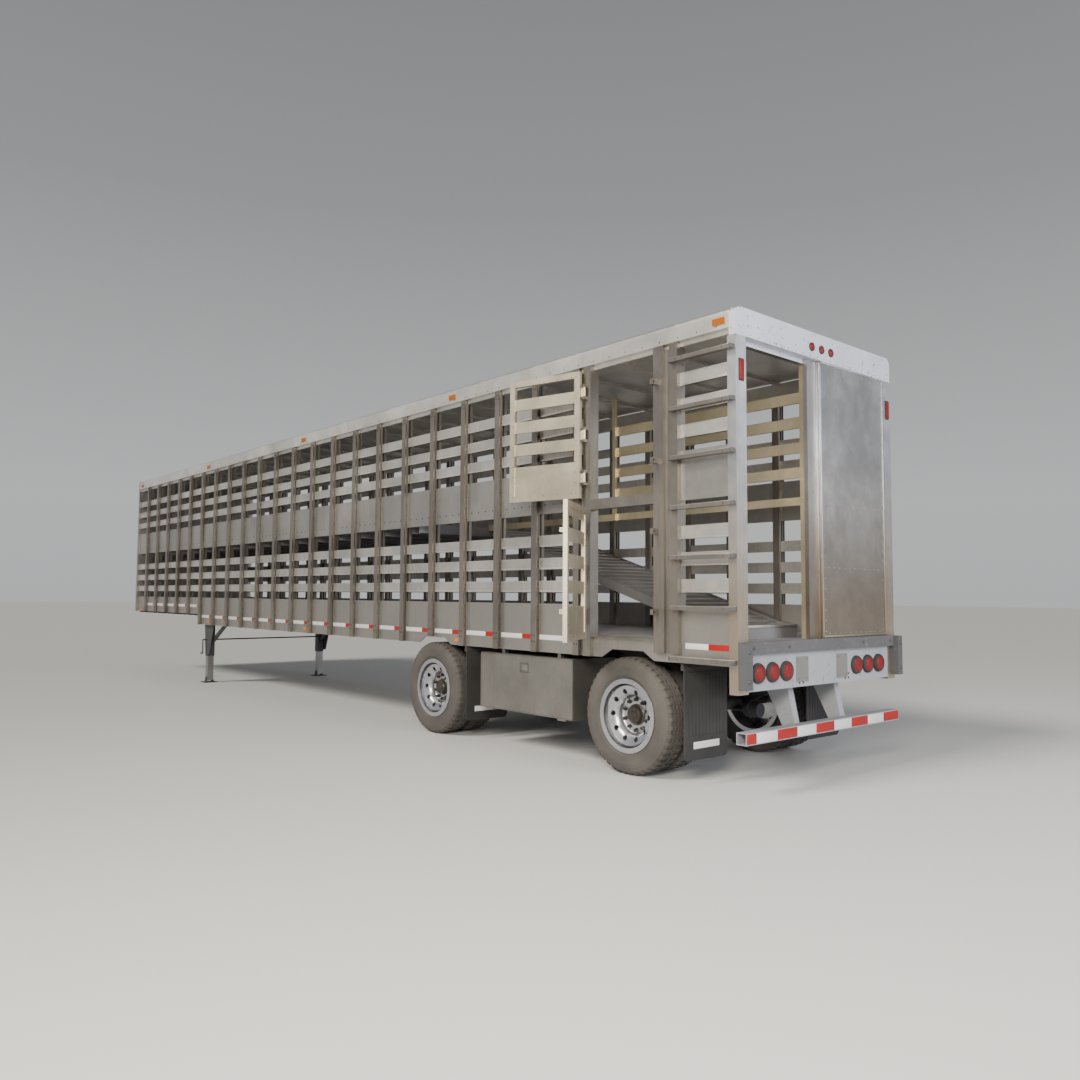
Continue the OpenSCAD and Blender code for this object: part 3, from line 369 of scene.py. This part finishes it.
def rubber(name, colour, dust=(0.2, 0.17, 0.14), amount=0.45, roughness=0.75):
    """Rubber with road dust in soft patches."""
    f = Finish(name, colour, roughness)
    at, *_ = f.place()
    patches = f.ramp(f.noise(at, 2.6, detail=4, rough=0.55), (0.3, 0), (0.75, 1)) * amount
    grain = f.noise(at, 160, detail=2)
    f.colour(f.mix(patches, colour, dust))
    f.rough(roughness + patches * 0.15)
    f.bump(grain, 0.0004, 0.4)
    return f.material


def lens(name, colour):
    """Moulded lens with diamond prisms, whose glints are painted into its colour as lighter and darker
    diamonds.
    """
    f = Finish(name, colour, 0.3)
    _, _, y, z = f.place()
    prism = ((y + z) * 420).wave() * ((y - z) * 420).wave()
    # Painted glints: the prism pattern lightens and darkens the lens colour.
    prism_glints = f.ramp(prism * 0.5 + 0.5, (0.3, 0), (0.8, 1))
    f.colour(f.mix(prism_glints, scaled(colour, 0.35), scaled(colour, 1.3)))
    f.bump(prism, 0.0012, 0.7)
    f.shader.inputs["Coat Weight"].default_value = 0.15
    f.shader.inputs["Specular IOR Level"].default_value = 0.3
    return f.material


MATERIALS = {
    "roof_aluminium": aged_metal("roof_aluminium", (0.66, 0.64, 0.60), streaks=0.2, spots=0.3),
    "wall_aluminium": aged_metal("wall_aluminium", (0.43, 0.42, 0.40), spots=0.5,
                                 low_tone=(0.36, 0.34, 0.31)),
    "slat_aluminium": aged_metal("slat_aluminium", (0.64, 0.62, 0.58), spots=0.5),
    "rail_aluminium": aged_metal("rail_aluminium", (0.80, 0.78, 0.73), streaks=0.25, spots=0.3,
                                 metallic=0.8),
    "post_aluminium": aged_metal("post_aluminium", (0.27, 0.25, 0.225), (0.05, 0.04, 0.03), 0.6, 0.7,
                                 0.4, 0.85),
    "corner_aluminium": aged_metal("corner_aluminium", (0.60, 0.61, 0.64), (0.10, 0.08, 0.06), 0.4, 0.5,
                                   0.36, 0.9, (0.40, 0.31, 0.21)),
    "panel_aluminium": aged_metal("panel_aluminium", (0.52, 0.52, 0.53), (0.08, 0.065, 0.05), 0.5, 0.8,
                                  0.34, 0.95, (0.26, 0.20, 0.14)),
    "gate_aluminium": aged_metal("gate_aluminium", (0.66, 0.57, 0.39), spots=0.5),
    "door_aluminium": aged_metal("door_aluminium", (0.72, 0.65, 0.50), streaks=0.25, spots=0.4),
    "box_aluminium": aged_metal("box_aluminium", (0.30, 0.285, 0.265), (0.08, 0.07, 0.06), 0.5, 0.7,
                                0.42, 0.85),
    # On the slat lips this lighter tone is a painted highlight.
    "bright_aluminium": aged_metal("bright_aluminium", (0.74, 0.72, 0.68), streaks=0.1, spots=0.3,
                                   roughness=0.3),
    "wheel_aluminium": aged_metal("wheel_aluminium", (0.60, 0.61, 0.64), (0.3, 0.3, 0.3), 0.1, 0.0,
                                  0.26, 0.97),
    "bright_steel": aged_metal("bright_steel", (0.42, 0.41, 0.40), streaks=0.2, roughness=0.35,
                               metallic=0.9),
    "hub_bronze": aged_metal("hub_bronze", (0.085, 0.078, 0.066), (0.03, 0.026, 0.02), 0.3, 0.4,
                             0.36, 0.8),
    "tread_aluminium": tread_plate("tread_aluminium", (0.36, 0.36, 0.38)),
    "header_paint": chipped_paint("header_paint", (0.50, 0.52, 0.60), (0.12, 0.11, 0.11), 0.9),
    "sill_paint": two_tone("sill_paint", (0.30, 0.31, 0.335), (0.085, 0.085, 0.09)),
    "rear_steel": chipped_paint("rear_steel", (0.30, 0.31, 0.335), (0.12, 0.11, 0.10)),
    "frame_steel": chipped_paint("frame_steel", (0.055, 0.055, 0.058), (0.13, 0.09, 0.07)),
    "bracket_steel": chipped_paint("bracket_steel", (0.17, 0.165, 0.155), (0.28, 0.26, 0.24), 0.6),
    "bumper_steel": chipped_paint("bumper_steel", (0.075, 0.075, 0.08), (0.22, 0.2, 0.19), 0.8),
    "white_tape": chipped_paint("white_tape", (0.66, 0.66, 0.66), (0.4, 0.38, 0.35), 0.4, 0.4),
    "red_tape": chipped_paint("red_tape", (0.34, 0.006, 0.005), (0.2, 0.05, 0.04), 0.4, 0.4),
    "red_lens": lens("red_lens", (0.24, 0.002, 0.002)),
    "amber_lens": lens("amber_lens", (0.75, 0.20, 0.01)),
    "flap_rubber": rubber("flap_rubber", (0.022, 0.022, 0.024), (0.07, 0.065, 0.06)),
    "tyre_rubber": rubber("tyre_rubber", (0.060, 0.056, 0.052), (0.125, 0.113, 0.10), 0.7),
}

# Nodes whose finish differs from the one their slot names.
FINISHES = {
    "corner_posts": "corner_aluminium",
    "ladder_rungs": "post_aluminium",
    "plate_brackets": "bracket_steel",
    "sill_plate": "sill_paint",
    "slats_left": "slat_aluminium",
    "slats_right": "slat_aluminium",
    "top_rails": "rail_aluminium",
}


# ---- Pieces ----


class Piece:
    """One mesh built with bmesh operators and shown in one finish."""

    def __init__(self, name):
        self.name = name
        self.mesh = bmesh.new()

    def block(self, low, high, edge=0.0):
        """A plate or bar between two corners, with its edges broken."""
        low, high = Vector(low), Vector(high)
        where = Matrix.LocRotScale((low + high) / 2, None, high - low)
        made = bmesh.ops.create_cube(self.mesh, size=1, matrix=where)["verts"]
        if edge:
            edges = list({e for v in made for e in v.link_edges})
            bmesh.ops.bevel(self.mesh, geom=edges, offset=edge, segments=2, profile=0.5,
                            affect="EDGES", material=-1)

    def rod(self, start, end, radius, tip=None, sides=20):
        """A round bar, tapered to the tip's radius."""
        start, end = Vector(start), Vector(end)
        turn = (end - start).to_track_quat("Z", "Y")
        bmesh.ops.create_cone(self.mesh, cap_ends=True, segments=sides, radius1=radius,
                              radius2=radius if tip is None else tip, depth=(end - start).length,
                              matrix=Matrix.LocRotScale((start + end) / 2, turn, None))

    def heads(self, places, out, radius=0.009):
        """Rivet or bolt heads that stand out of a surface."""
        for place in places:
            self.rod(place, place + Vector(out) * radius * 0.55, radius, radius * 0.6, 8)

    def turned(self, section, centre, axis="Y", steps=72, closed=True):
        """A section of (distance along the axis, radius) points, turned about the axis."""
        along = Vector([float(axis == name) for name in "XYZ"])
        across = Vector((0, 0, 1)) if axis == "X" else Vector((1, 0, 0))
        verts = [self.mesh.verts.new(centre + along * a + across * r) for a, r in section]
        pairs = zip(verts, verts[1:] + verts[:1]) if closed else zip(verts, verts[1:])
        edges = [self.mesh.edges.new(pair) for pair in pairs]
        before = set(self.mesh.faces)
        bmesh.ops.spin(self.mesh, geom=verts + edges, cent=centre, axis=along, dvec=(0, 0, 0),
                       angle=math.tau, steps=steps, use_merge=True, use_duplicate=False)
        return [f for f in self.mesh.faces if f not in before]

    def turn(self, centre, axis, angle):
        """Turns all that is built so far about an axis through the centre."""
        bmesh.ops.rotate(self.mesh, verts=self.mesh.verts, cent=centre,
                         matrix=Matrix.Rotation(angle, 3, axis))

    def show(self, body, slot, *replaced, finish=None, ends=None):
        """Adds the piece to the scene, on one body and with one finish.

        With ends it is not attached to a body: its transform is baked into its mesh and it stays where it was
        built.
        """
        bmesh.ops.remove_doubles(self.mesh, verts=self.mesh.verts, dist=0.00002)
        bmesh.ops.recalc_face_normals(self.mesh, faces=self.mesh.faces)
        for edge in self.mesh.edges:
            edge.smooth = len(edge.link_faces) == 2 and edge.calc_face_angle() < 0.6
        for face in self.mesh.faces:
            face.smooth = True
        data = bpy.data.meshes.new(self.name)
        self.mesh.to_mesh(data)
        self.mesh.free()
        data.materials.append(MATERIALS[finish or slot])
        piece = bpy.data.objects.new(self.name, data)
        bpy.context.scene.collection.objects.link(piece)
        if ends:
            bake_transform(piece)
        else:
            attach(piece, body)
        if replaced:
            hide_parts(*replaced)


def wall_runs(side):
    """The lengths of wall that carry slats on one side."""
    return [(0.10, 0.60), (1.88, NOSE)] if side > 0 else [(0.10, NOSE)]


def make_slat_lips():
    """Rolled lips along each slat: a deep one below and a shallow one above; their lighter finish is a
    painted highlight.
    """
    lips = Piece("slat_lips")
    for side in SIDES:
        for start, end in wall_runs(side):
            for top in SLAT_TOPS:
                foot = top - SLAT_H
                for low, high, out in ((foot, foot + 0.016, 0.006), (top - 0.010, top, 0.003)):
                    ys = sorted((side * 1.222, side * (WALL + out)))
                    lips.block(road(start, ys[0], low), road(end, ys[1], high), 0.0012)
    # The lighter bright_aluminium finish paints a highlight along every lip.
    lips.show("root", "bright_aluminium")


def make_wall_rivets():
    """Rivet pairs on the posts, a row between them on the belt panels and one along the top rails."""
    rivets = Piece("wall_rivets")
    levels = [top - d for top in SLAT_TOPS for d in (0.035, 0.085)]
    levels += [2.535, 2.66, 2.79, 2.92, 1.30, 1.40, 1.54]
    doorway_posts = [POSTS[0] - POST_PITCH, POSTS[0] - 2 * POST_PITCH]
    for side in SIDES:
        out = (0, side, 0)
        face = side * POST_FACE
        for x in POSTS + (doorway_posts if side < 0 else []):
            rivets.heads([road(x + dx, side * (WALL + 0.008), z) for dx in (-0.026, 0.026) for z in levels],
                         out, 0.008)
            foot = 1.29 if x > DROP - 0.1 else 1.18
            ends = (foot, foot + 0.06, 3.84, 3.88)
            rivets.heads([road(x + dx, face, z) for dx in (-0.02, 0.02) for z in ends], out, 0.009)
        for x in POSTS[:-1]:
            rivets.heads([road(x + dx, side * WALL, 2.60) for dx in spread(0.13, 0.52, 4)], out, 0.009)
        rivets.heads([road(x, face, 3.965) for x in spread(0.2, 15.9, 74)], out, 0.007)
    rivets.show("root", "post_aluminium", finish="hub_bronze")


def make_tape():
    """Reflective strips in white and red along the rails and across the guard."""
    strips = {"white": Piece("white_tape"), "red": Piece("red_tape")}
    rail, raised_rail, width = 1.198, 1.388, 0.050
    rear_bay = (("red", 0.105, 0.340), ("white", 0.345, 0.595))
    bay = (("red", 0.045, 0.235), ("white", 0.240, 0.600))
    runs = [(0, rail, rear_bay)]
    runs += [(x, rail, bay) for x in POSTS[:16]]
    runs += [(x, raised_rail, bay) for x in POSTS[16:21]]
    for side in SIDES:
        ys = sorted((side * WALL, side * (WALL + 0.0015)))
        for x, low, parts in runs:
            for kind, start, end in parts:
                strips[kind].block(road(x + start, ys[0], low), road(x + end, ys[1], low + width), 0.0004)
    edges = [1.255, 1.12] + [1.12 - 0.297 * i for i in range(1, 8)] + [-1.255]
    for i, (start, end) in enumerate(zip(edges, edges[1:])):
        strip = strips["white" if i % 2 else "red"]
        strip.block(road(-0.0515, end + 0.002, 0.448), road(-0.0495, start - 0.002, 0.532), 0.0004)
    strips["white"].show("root", "rear_steel", finish="white_tape")
    strips["red"].show("root", "rear_steel", finish="red_tape")


def make_tyre(name, body, x, side):
    """Two tyres of a dual wheel, with their grooves cut and every other block of the shoulders sunk."""
    tyres = Piece(name)
    blocks = 90
    lanes = ((0.064, 0.12), (-0.12, -0.064), (0.026, 0.049), (-0.049, -0.026))
    half = [
        (0.112, 0.313), (0.113, 0.345), (0.124, 0.358), (0.131, 0.372), (0.1335, 0.374), (0.134, 0.382),
        (0.137, 0.40), (0.140, 0.43), (0.140, 0.447), (0.1385, 0.449), (0.138, 0.456), (0.1365, 0.47),
        (0.134, 0.482), (0.132, 0.484), (0.130, 0.498), (0.121, 0.516), (0.118, 0.518), (0.108, 0.536),
        (0.098, 0.541), (0.062, 0.543), (0.060, 0.531), (0.052, 0.531), (0.050, 0.543), (0.024, 0.543),
        (0.022, 0.531), (0.014, 0.531), (0.012, 0.543),
    ]
    inside = [(-0.08, 0.34), (-0.09, 0.48), (0.09, 0.48), (0.08, 0.34)]
    section = half + [(-a, r) for a, r in reversed(half)] + inside
    for middle in (1.140, 0.797):
        centre = road(x, side * middle, HUB)
        faces = tyres.turned(section, centre, steps=blocks)
        for lane in lanes:
            rows = {}
            for face in faces:
                at = face.calc_center_median() - centre
                if lane[0] < at.y < lane[1] and math.hypot(at.x, at.z) > 0.515:
                    row = round(math.atan2(at.z, at.x) / math.tau * blocks - 0.5) % blocks
                    rows.setdefault(row, []).append(face)
            cut = [face for i, row in rows.items() if i % 2 for face in row]
            moved = bmesh.ops.extrude_face_region(tyres.mesh, geom=cut)["geom"]
            bmesh.ops.delete(tyres.mesh, geom=cut, context="FACES")
            verts = [g for g in moved if isinstance(g, bmesh.types.BMVert)]
            faces = [f for f in tyres.mesh.faces if abs(f.calc_center_median().y - centre.y) < 0.15]
            bmesh.ops.scale(tyres.mesh, vec=(0.982, 1, 0.982), space=Matrix.Translation(-centre),
                            verts=verts)
    tyres.show(body, "tyre_rubber", body.replace("wheel_set", "tyres"))


def make_wheel_trim(name, body, x, side):
    """Dished outer disc with ten hand holes, the rolled rim lip, a valve, nuts and the hub cap."""
    centre = road(x, side * 0.9685, HUB)
    dish = Piece(name + "_dish")
    outline = [(0.268, 0.2795), (0.252, 0.276), (0.243, 0.256), (0.235, 0.226), (0.221, 0.198),
               (0.196, 0.181), (0.160, 0.173), (0.151, 0.162), (0.149, 0.095), (0.139, 0.095),
               (0.139, 0.165), (0.183, 0.189), (0.209, 0.203), (0.222, 0.226), (0.230, 0.254),
               (0.238, 0.2795)]
    dish.turned([(side * a, r) for a, r in outline], centre, steps=60)
    bmesh.ops.remove_doubles(dish.mesh, verts=dish.mesh.verts, dist=0.00002)
    for i in range(10):
        a = i * math.radians(36)
        ring = []
        for depth in (0.235, 0.222):
            spot = centre + Vector((0.226 * math.cos(a), side * depth, 0.226 * math.sin(a)))
            hub = min(dish.mesh.verts, key=lambda v: (v.co - spot).length)
            around = {v for f in hub.link_faces for v in f.verts} - {hub}
            for v in around:
                v.co = hub.co + (v.co - hub.co).normalized() * 0.027
            ring += [e for f in hub.link_faces for e in f.edges if hub not in e.verts]
            bmesh.ops.delete(dish.mesh, geom=[hub], context="VERTS")
        bmesh.ops.bridge_loops(dish.mesh, edges=ring)
    lip = [(0.283, 0.336), (0.292, 0.345), (0.288, 0.3435), (0.276, 0.331), (0.272, 0.300), (0.24, 0.286),
           (0.15, 0.284), (0.06, 0.280), (0.058, 0.287), (0.15, 0.290), (0.25, 0.296), (0.264, 0.330)]
    dish.turned([(side * a, r) for a, r in lip], centre)
    valve, valve_tip = Vector((0.19, side * 0.24, 0.195)), Vector((0.20, side * 0.275, 0.205))
    dish.rod(centre + valve, centre + valve_tip, 0.005, 0.0035, 10)
    dish.show(body, "wheel_aluminium")
    nuts = Piece(name + "_nuts")
    for i in range(10):
        a = math.radians(18 + 36 * i)
        at = centre + Vector((0.1429 * math.cos(a), side * 0.149, 0.1429 * math.sin(a)))
        nuts.rod(at, at + Vector((0, side * 0.006, 0)), 0.022, 0.020)
        nuts.rod(at + Vector((0, side * 0.006, 0)), at + Vector((0, side * 0.030, 0)), 0.0185, 0.0165, 6)
        nuts.rod(at + Vector((0, side * 0.029, 0)), at + Vector((0, side * 0.036, 0)), 0.010, 0.009)
    nuts.show(body, "bright_steel", finish="hub_bronze")
    cap = Piece(name + "_cap")
    dome = [(0.145, 0.100), (0.158, 0.100), (0.163, 0.095), (0.165, 0.088), (0.190, 0.083), (0.201, 0.075),
            (0.203, 0.064), (0.200, 0.058), (0.198, 0.045), (0.200, 0.034), (0.207, 0.030), (0.208, 0.0)]
    cap.turned([(side * a, r) for a, r in dome], centre, closed=False, steps=48)
    for i in range(6):
        a = i * math.radians(60)
        at = centre + Vector((0.092 * math.cos(a), side * 0.162, 0.092 * math.sin(a)))
        cap.rod(at, at + Vector((0, side * 0.006, 0)), 0.006, 0.005, 6)
    cap.show(body, "bright_steel", finish="hub_bronze")


def make_lamps():
    """Red glass and rubber grommets: six tail lamps, three in the header and one high on each post."""
    glass, rings = Piece("lamp_lenses"), Piece("lamp_grommets")
    tail_glass = [(-0.006, 0.068), (-0.030, 0.067), (-0.037, 0.060), (-0.041, 0.045), (-0.044, 0.022),
                  (-0.045, 0)]
    tail_ring = [(0, 0.0875), (-0.014, 0.0875), (-0.024, 0.084), (-0.032, 0.077), (-0.031, 0.068),
                 (0, 0.067)]
    for y in (0.619, 0.826, 1.031, -0.543, -0.750, -0.955):
        at = road(0, y, 1.015)
        glass.turned(tail_glass, at, "X", 40, closed=False)
        rings.turned(tail_ring, at, "X", 40)
    top_glass = [(0, 0.033), (-0.012, 0.033), (-0.018, 0.026), (-0.021, 0.012), (-0.022, 0)]
    top_ring = [(0, 0.040), (-0.009, 0.040), (-0.014, 0.037), (-0.013, 0.033), (0, 0.033)]
    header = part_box("rear_header")
    for y in (0.146, -0.016, -0.176):
        at = Vector((REAR, y, sum(corner.z for corner in header) / 2))
        glass.turned(top_glass, at, "X", 32, closed=False)
        rings.turned(top_ring, at, "X", 32)
    for side in SIDES:
        middle = road(0, side * 1.224, 3.568)
        low, high = middle - Vector((0.016, 0.028, 0.088)), middle + Vector((0, 0.028, 0.088))
        glass.block(low, high, 0.007)
        rings.block(low + Vector((0.008, -0.006, -0.008)), high + Vector((0, 0.006, 0.008)), 0.006)
    glass.show("root", "red_lens", "red_lamps")
    rings.show("root", "flap_rubber")


def make_rear_details():
    """Rivets and edge bars of the rear panel, the sill's bolts and the step's nosing."""
    rivets = Piece("rear_rivets")
    spots = [road(0.008, y, z) for y in (-0.05, -1.105) for z in spread(1.34, 3.80, 26)]
    spots += [road(0.008, y, z) for z in (1.32, 1.93, 2.53, 3.82) for y in spread(-1.03, -0.12, 11)]
    rivets.heads(spots, BACK, 0.0075)
    rivets.heads([road(0, y, 3.885) for y in spread(-1.2, 1.2, 22)], BACK, 0.007)
    rivets.heads([road(0, side * 1.19, z) for side in SIDES for z in spread(1.36, 3.8, 16)], BACK, 0.0065)
    rivets.show("root", "panel_aluminium", finish="bright_steel")
    bolts = Piece("sill_bolts")
    bolts.heads([road(-0.04, y, 1.228) for y in (-1.13, -0.62, 0.62, 1.13)], BACK, 0.017)
    bolts.heads([road(-0.085, side * 1.255, z) for side in SIDES for z in (0.96, 1.20)], BACK, 0.019)
    bolts.heads([road(0, side * y, z) for side in SIDES for y in (0.35, 0.41) for z in (0.90, 0.94)],
                BACK, 0.012)
    bolts.show("root", "frame_steel")
    step = Piece("step_nosing")
    low, high = road(0.335, -0.09, 1.372), road(0.765, 1.10, 1.398)
    step.block((low.x - 0.004, low.y, low.z), (low.x + 0.02, high.y, high.z), 0.004)
    step.block((high.x - 0.02, low.y, low.z), (high.x + 0.004, high.y, high.z), 0.004)
    step.block((low.x, low.y - 0.004, low.z), (high.x, low.y + 0.02, high.z), 0.004)
    step.show("root", "tread_aluminium", finish="bright_aluminium")
    edges = Piece("rear_frame_edges")
    for y in (-1.153, -0.012):
        edges.block(road(0, y - 0.006, 1.28), road(0.010, y + 0.018, 3.862), 0.003)
    edges.block(road(0.03, -0.002, 1.28), road(0.052, 0.012, 3.862), 0.003)
    for z in (1.284, 3.846):
        edges.block(road(0.001, -1.16, z), road(0.009, 0, z + 0.02), 0.003)
    edges.show("root", "panel_aluminium", finish="corner_aluminium")


def make_rungs():
    """Grip ridges on each rung of the ladder, with its end caps and bolts."""
    treads, tips = Piece("rung_treads"), Piece("rung_tips")
    for i in range(7):
        z = 3.775 - 0.441 * i
        for y in spread(1.301, 1.347, 5):
            treads.block(road(0.02, y - 0.003, z), road(0.69, y + 0.003, z + 0.004), 0.001)
        for x in (0.008, 0.683):
            tips.block(road(x, 1.294, z - 0.036), road(x + 0.018, 1.357, z + 0.003), 0.004)
        tips.heads([road(x, 1.355, z - 0.017) for x in (0.10, 0.60)], LEFT, 0.009)
    treads.show("root", "bright_aluminium")
    tips.show("root", "bumper_steel")


def make_flaps():
    """Ribs, clamp bar, bolts and the pale stripe of each mud flap."""
    ribs, stripes = Piece("flap_ribs"), Piece("flap_stripes")
    low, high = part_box("mud_flaps")
    bottom, top = low.z - ROAD, high.z - ROAD
    for side in SIDES:
        inner, outer = sorted((side * 0.650, side * 1.250))
        for x in (3.825, 0.605):
            for y in spread(inner + 0.06, outer - 0.06, 11):
                ribs.block(road(x - 0.0035, y - 0.006, bottom + 0.22), road(x, y + 0.006, top - 0.10), 0.0015)
            for start, end in ((bottom + 0.205, bottom + 0.215), (top - 0.09, top - 0.08)):
                ribs.block(road(x - 0.004, inner + 0.04, start), road(x, outer - 0.04, end), 0.0015)
            ribs.block(road(x - 0.006, inner + 0.01, top - 0.055), road(x, outer - 0.01, top - 0.012), 0.002)
            bolts = [road(x - 0.006, y, top - 0.033) for y in spread(inner + 0.06, outer - 0.06, 5)]
            ribs.heads(bolts, BACK, 0.011)
            stripes.block(road(x - 0.002, inner + 0.12, bottom + 0.10),
                          road(x, outer - 0.12, bottom + 0.16), 0.0008)
    ribs.show("root", "flap_rubber")
    stripes.show("root", "flap_rubber", finish="white_tape")


def make_tool_box():
    """Raised edges and rivets of the tool box door, the surround of its latch and the latch's grip."""
    low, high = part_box("tool_box_door")
    latch_low, latch_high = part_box("tool_box_latch")
    front, foot, width = high.y, low.z + 0.02, 0.012
    seam = Piece("tool_box_seam")
    for x0, z0, x1, z1 in ((low.x, foot, high.x, foot + width), (low.x, high.z - width, high.x, high.z),
                           (low.x, foot, low.x + width, high.z), (high.x - width, foot, high.x, high.z)):
        seam.block((x0, front - 0.005, z0), (x1, front + 0.0015, z1), 0.0015)
    rivets = [Vector((x, front - 0.003, high.z - 0.03)) for x in spread(low.x + 0.05, high.x - 0.05, 12)]
    seam.heads(rivets, LEFT, 0.006)
    left, right = latch_low.x - 0.016, latch_high.x + 0.016
    bottom, top = latch_low.z - 0.016, latch_high.z + 0.016
    for x0, z0, x1, z1 in ((left, bottom, latch_low.x - 0.002, top),
                           (latch_high.x + 0.002, bottom, right, top),
                           (left, latch_high.z + 0.003, right, top),
                           (left, bottom, right, latch_low.z - 0.002)):
        seam.block((x0, front - 0.006, z0), (x1, front + 0.004, z1), 0.002)
    seam.show("tool_box_door", "box_aluminium", finish="post_aluminium")
    grip = Piece("tool_box_grip")
    middle = (latch_low + latch_high) / 2
    base, face = latch_high.y - 0.001, latch_high.y + 0.003
    grip.block((latch_low.x + 0.012, base, middle.z - 0.022),
               (latch_high.x - 0.012, face, middle.z + 0.010), 0.0015)
    lock_x, lock_z = middle.x + 0.028, middle.z + 0.02
    grip.rod((lock_x, base, lock_z), (lock_x, face, lock_z), 0.009, 0.008)
    grip.show("tool_box_latch", "bright_steel")


def make_doors():
    """Rivets round both side doors, placed as if shut and turned with their door about its hinge."""
    hinge = road(1.800, 1.328, 0)
    outer, inner = 1.336, 1.296
    for name, angle, low, high in (("upper_door", -166, 2.612, 3.875), ("lower_door", -55, 1.246, 2.508)):
        trim = Piece(name + "_rivets")
        for z in spread(low + 0.05, high - 0.05, 12):
            trim.heads([road(x, outer, z) for x in (0.93, 1.74)], LEFT, 0.007)
            trim.heads([road(x, inner, z) for x in (0.948, 1.722)], RIGHT, 0.006)
        for x in spread(1.0, 1.67, 5):
            trim.heads([road(x, outer, z) for z in (low + 0.03, high - 0.03)], LEFT, 0.007)
            trim.heads([road(x, inner, z) for z in (low + 0.05, high - 0.05)], RIGHT, 0.006)
        trim.turn(hinge, "Z", math.radians(angle))
        trim.show(name, "door_aluminium", finish="post_aluminium")


def make_brake_chambers(body, x):
    """Two brake chambers behind the axle, each with its clamp ring, push rod and bracket."""
    cans = Piece(body + "_chambers")
    for side in SIDES:
        start = road(x - 0.17, side * 0.36, 0.50)
        ring, ring_back, end = (start + Vector((d, 0, 0)) for d in (-0.055, -0.065, -0.17))
        cans.rod(start, ring, 0.078, 0.085, 28)
        cans.rod(ring, ring_back, 0.092, None, 28)
        cans.rod(ring_back, end, 0.085, 0.074, 28)
        cans.rod(start, start + Vector((0.09, 0, 0)), 0.012)
        cans.block(road(x - 0.19, side * 0.36 - 0.05, 0.47), road(x - 0.03, side * 0.36 + 0.05, 0.50), 0.006)
    cans.show(body, "frame_steel")


def make_bellows(body, x):
    """Air springs: two folds of rubber over a piston, set between the frame and the axle's seat."""
    bellows = Piece(body + "_bellows")
    section = [(0.994, 0), (0.994, 0.112), (0.984, 0.120), (0.972, 0.107), (0.955, 0.120), (0.930, 0.1245),
               (0.900, 0.121), (0.876, 0.106), (0.858, 0.120), (0.830, 0.1245), (0.800, 0.120),
               (0.778, 0.102), (0.765, 0.088), (0.722, 0.084), (0.702, 0.094), (0.6875, 0.097), (0.6875, 0)]
    seat = x - 0.330
    for side in SIDES:
        bellows.turned(section, road(seat, side * 0.470, 0), "Z", 48, closed=False)
    bellows.show(body, "flap_rubber", body.replace("axle", "air_springs"),
                 ends=(road(seat, 0, 0.975), road(seat, 0, 0.720)))


def make_ramp_cleats():
    """Cross bars on the loading ramp, set out level along its hinge and then tilted to its slope."""
    hinge_x, hinge_z = 4.9336, 2.530
    run, rise = hinge_x - 1.040, hinge_z - 1.2946
    hinge = road(hinge_x, 0, hinge_z)
    length = math.hypot(rise, run)
    cleats = Piece("ramp_cleats")
    for along in spread(0.12 - length, -0.08, 26):
        start, end = Vector((along, -1.13, 0)), Vector((along + 0.03, 0, 0.014))
        cleats.block(hinge + start, hinge + end, 0.004)
    cleats.turn(hinge, "Y", -math.atan2(rise, run))
    cleats.show("ramp", "tread_aluminium", finish="bright_aluminium")


def make_front_and_roof():
    """Lapped seams and rivets across the roof, and rivet rows down the nose."""
    seams = Piece("roof_seams")
    top = ROOF - ROAD
    for i in range(13):
        x = 0.3 + i * 1.29
        seams.block(road(x, -1.18, top - 0.004), road(x + 0.05, 1.18, top + 0.002), 0.001)
        seams.heads([road(x + 0.025, y, top + 0.002) for y in spread(-1.15, 1.15, 16)], UP, 0.006)
    seams.show("root", "roof_aluminium")
    low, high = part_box("front_wall")
    nose = Piece("nose_rivets")
    levels = spread(low.z + 0.06, high.z - 0.06, 26)
    for x, ys in ((high.x, (-1.255, 1.255)), (high.x - 0.012, spread(-1.09, 1.09, 7))):
        nose.heads([Vector((x, y, z)) for y in ys for z in levels], AHEAD, 0.007)
    nose.show("root", "wall_aluminium")


# ---- Assembly ----

make_slat_lips()
make_wall_rivets()
make_tape()
for end, place in AXLES.items():
    for hand, side in (("left", 1), ("right", -1)):
        wheel_set = f"{end}_{hand}_wheel_set"
        make_tyre(f"{end}_{hand}_tread", wheel_set, place, side)
        make_wheel_trim(f"{end}_{hand}", wheel_set, place, side)
make_lamps()
make_rear_details()
make_rungs()
make_flaps()
make_tool_box()
make_doors()
for end, place in AXLES.items():
    make_brake_chambers(f"{end}_axle", place)
    make_bellows(f"{end}_axle", place)
make_ramp_cleats()
make_front_and_roof()

make_camera()
make_stage()

for row in frame["record"]["subparts"]:
    slots = NODES[row["node"]].data.materials
    slots.clear()
    slots.append(MATERIALS[FINISHES.get(row["node"], row["material_slot"])])
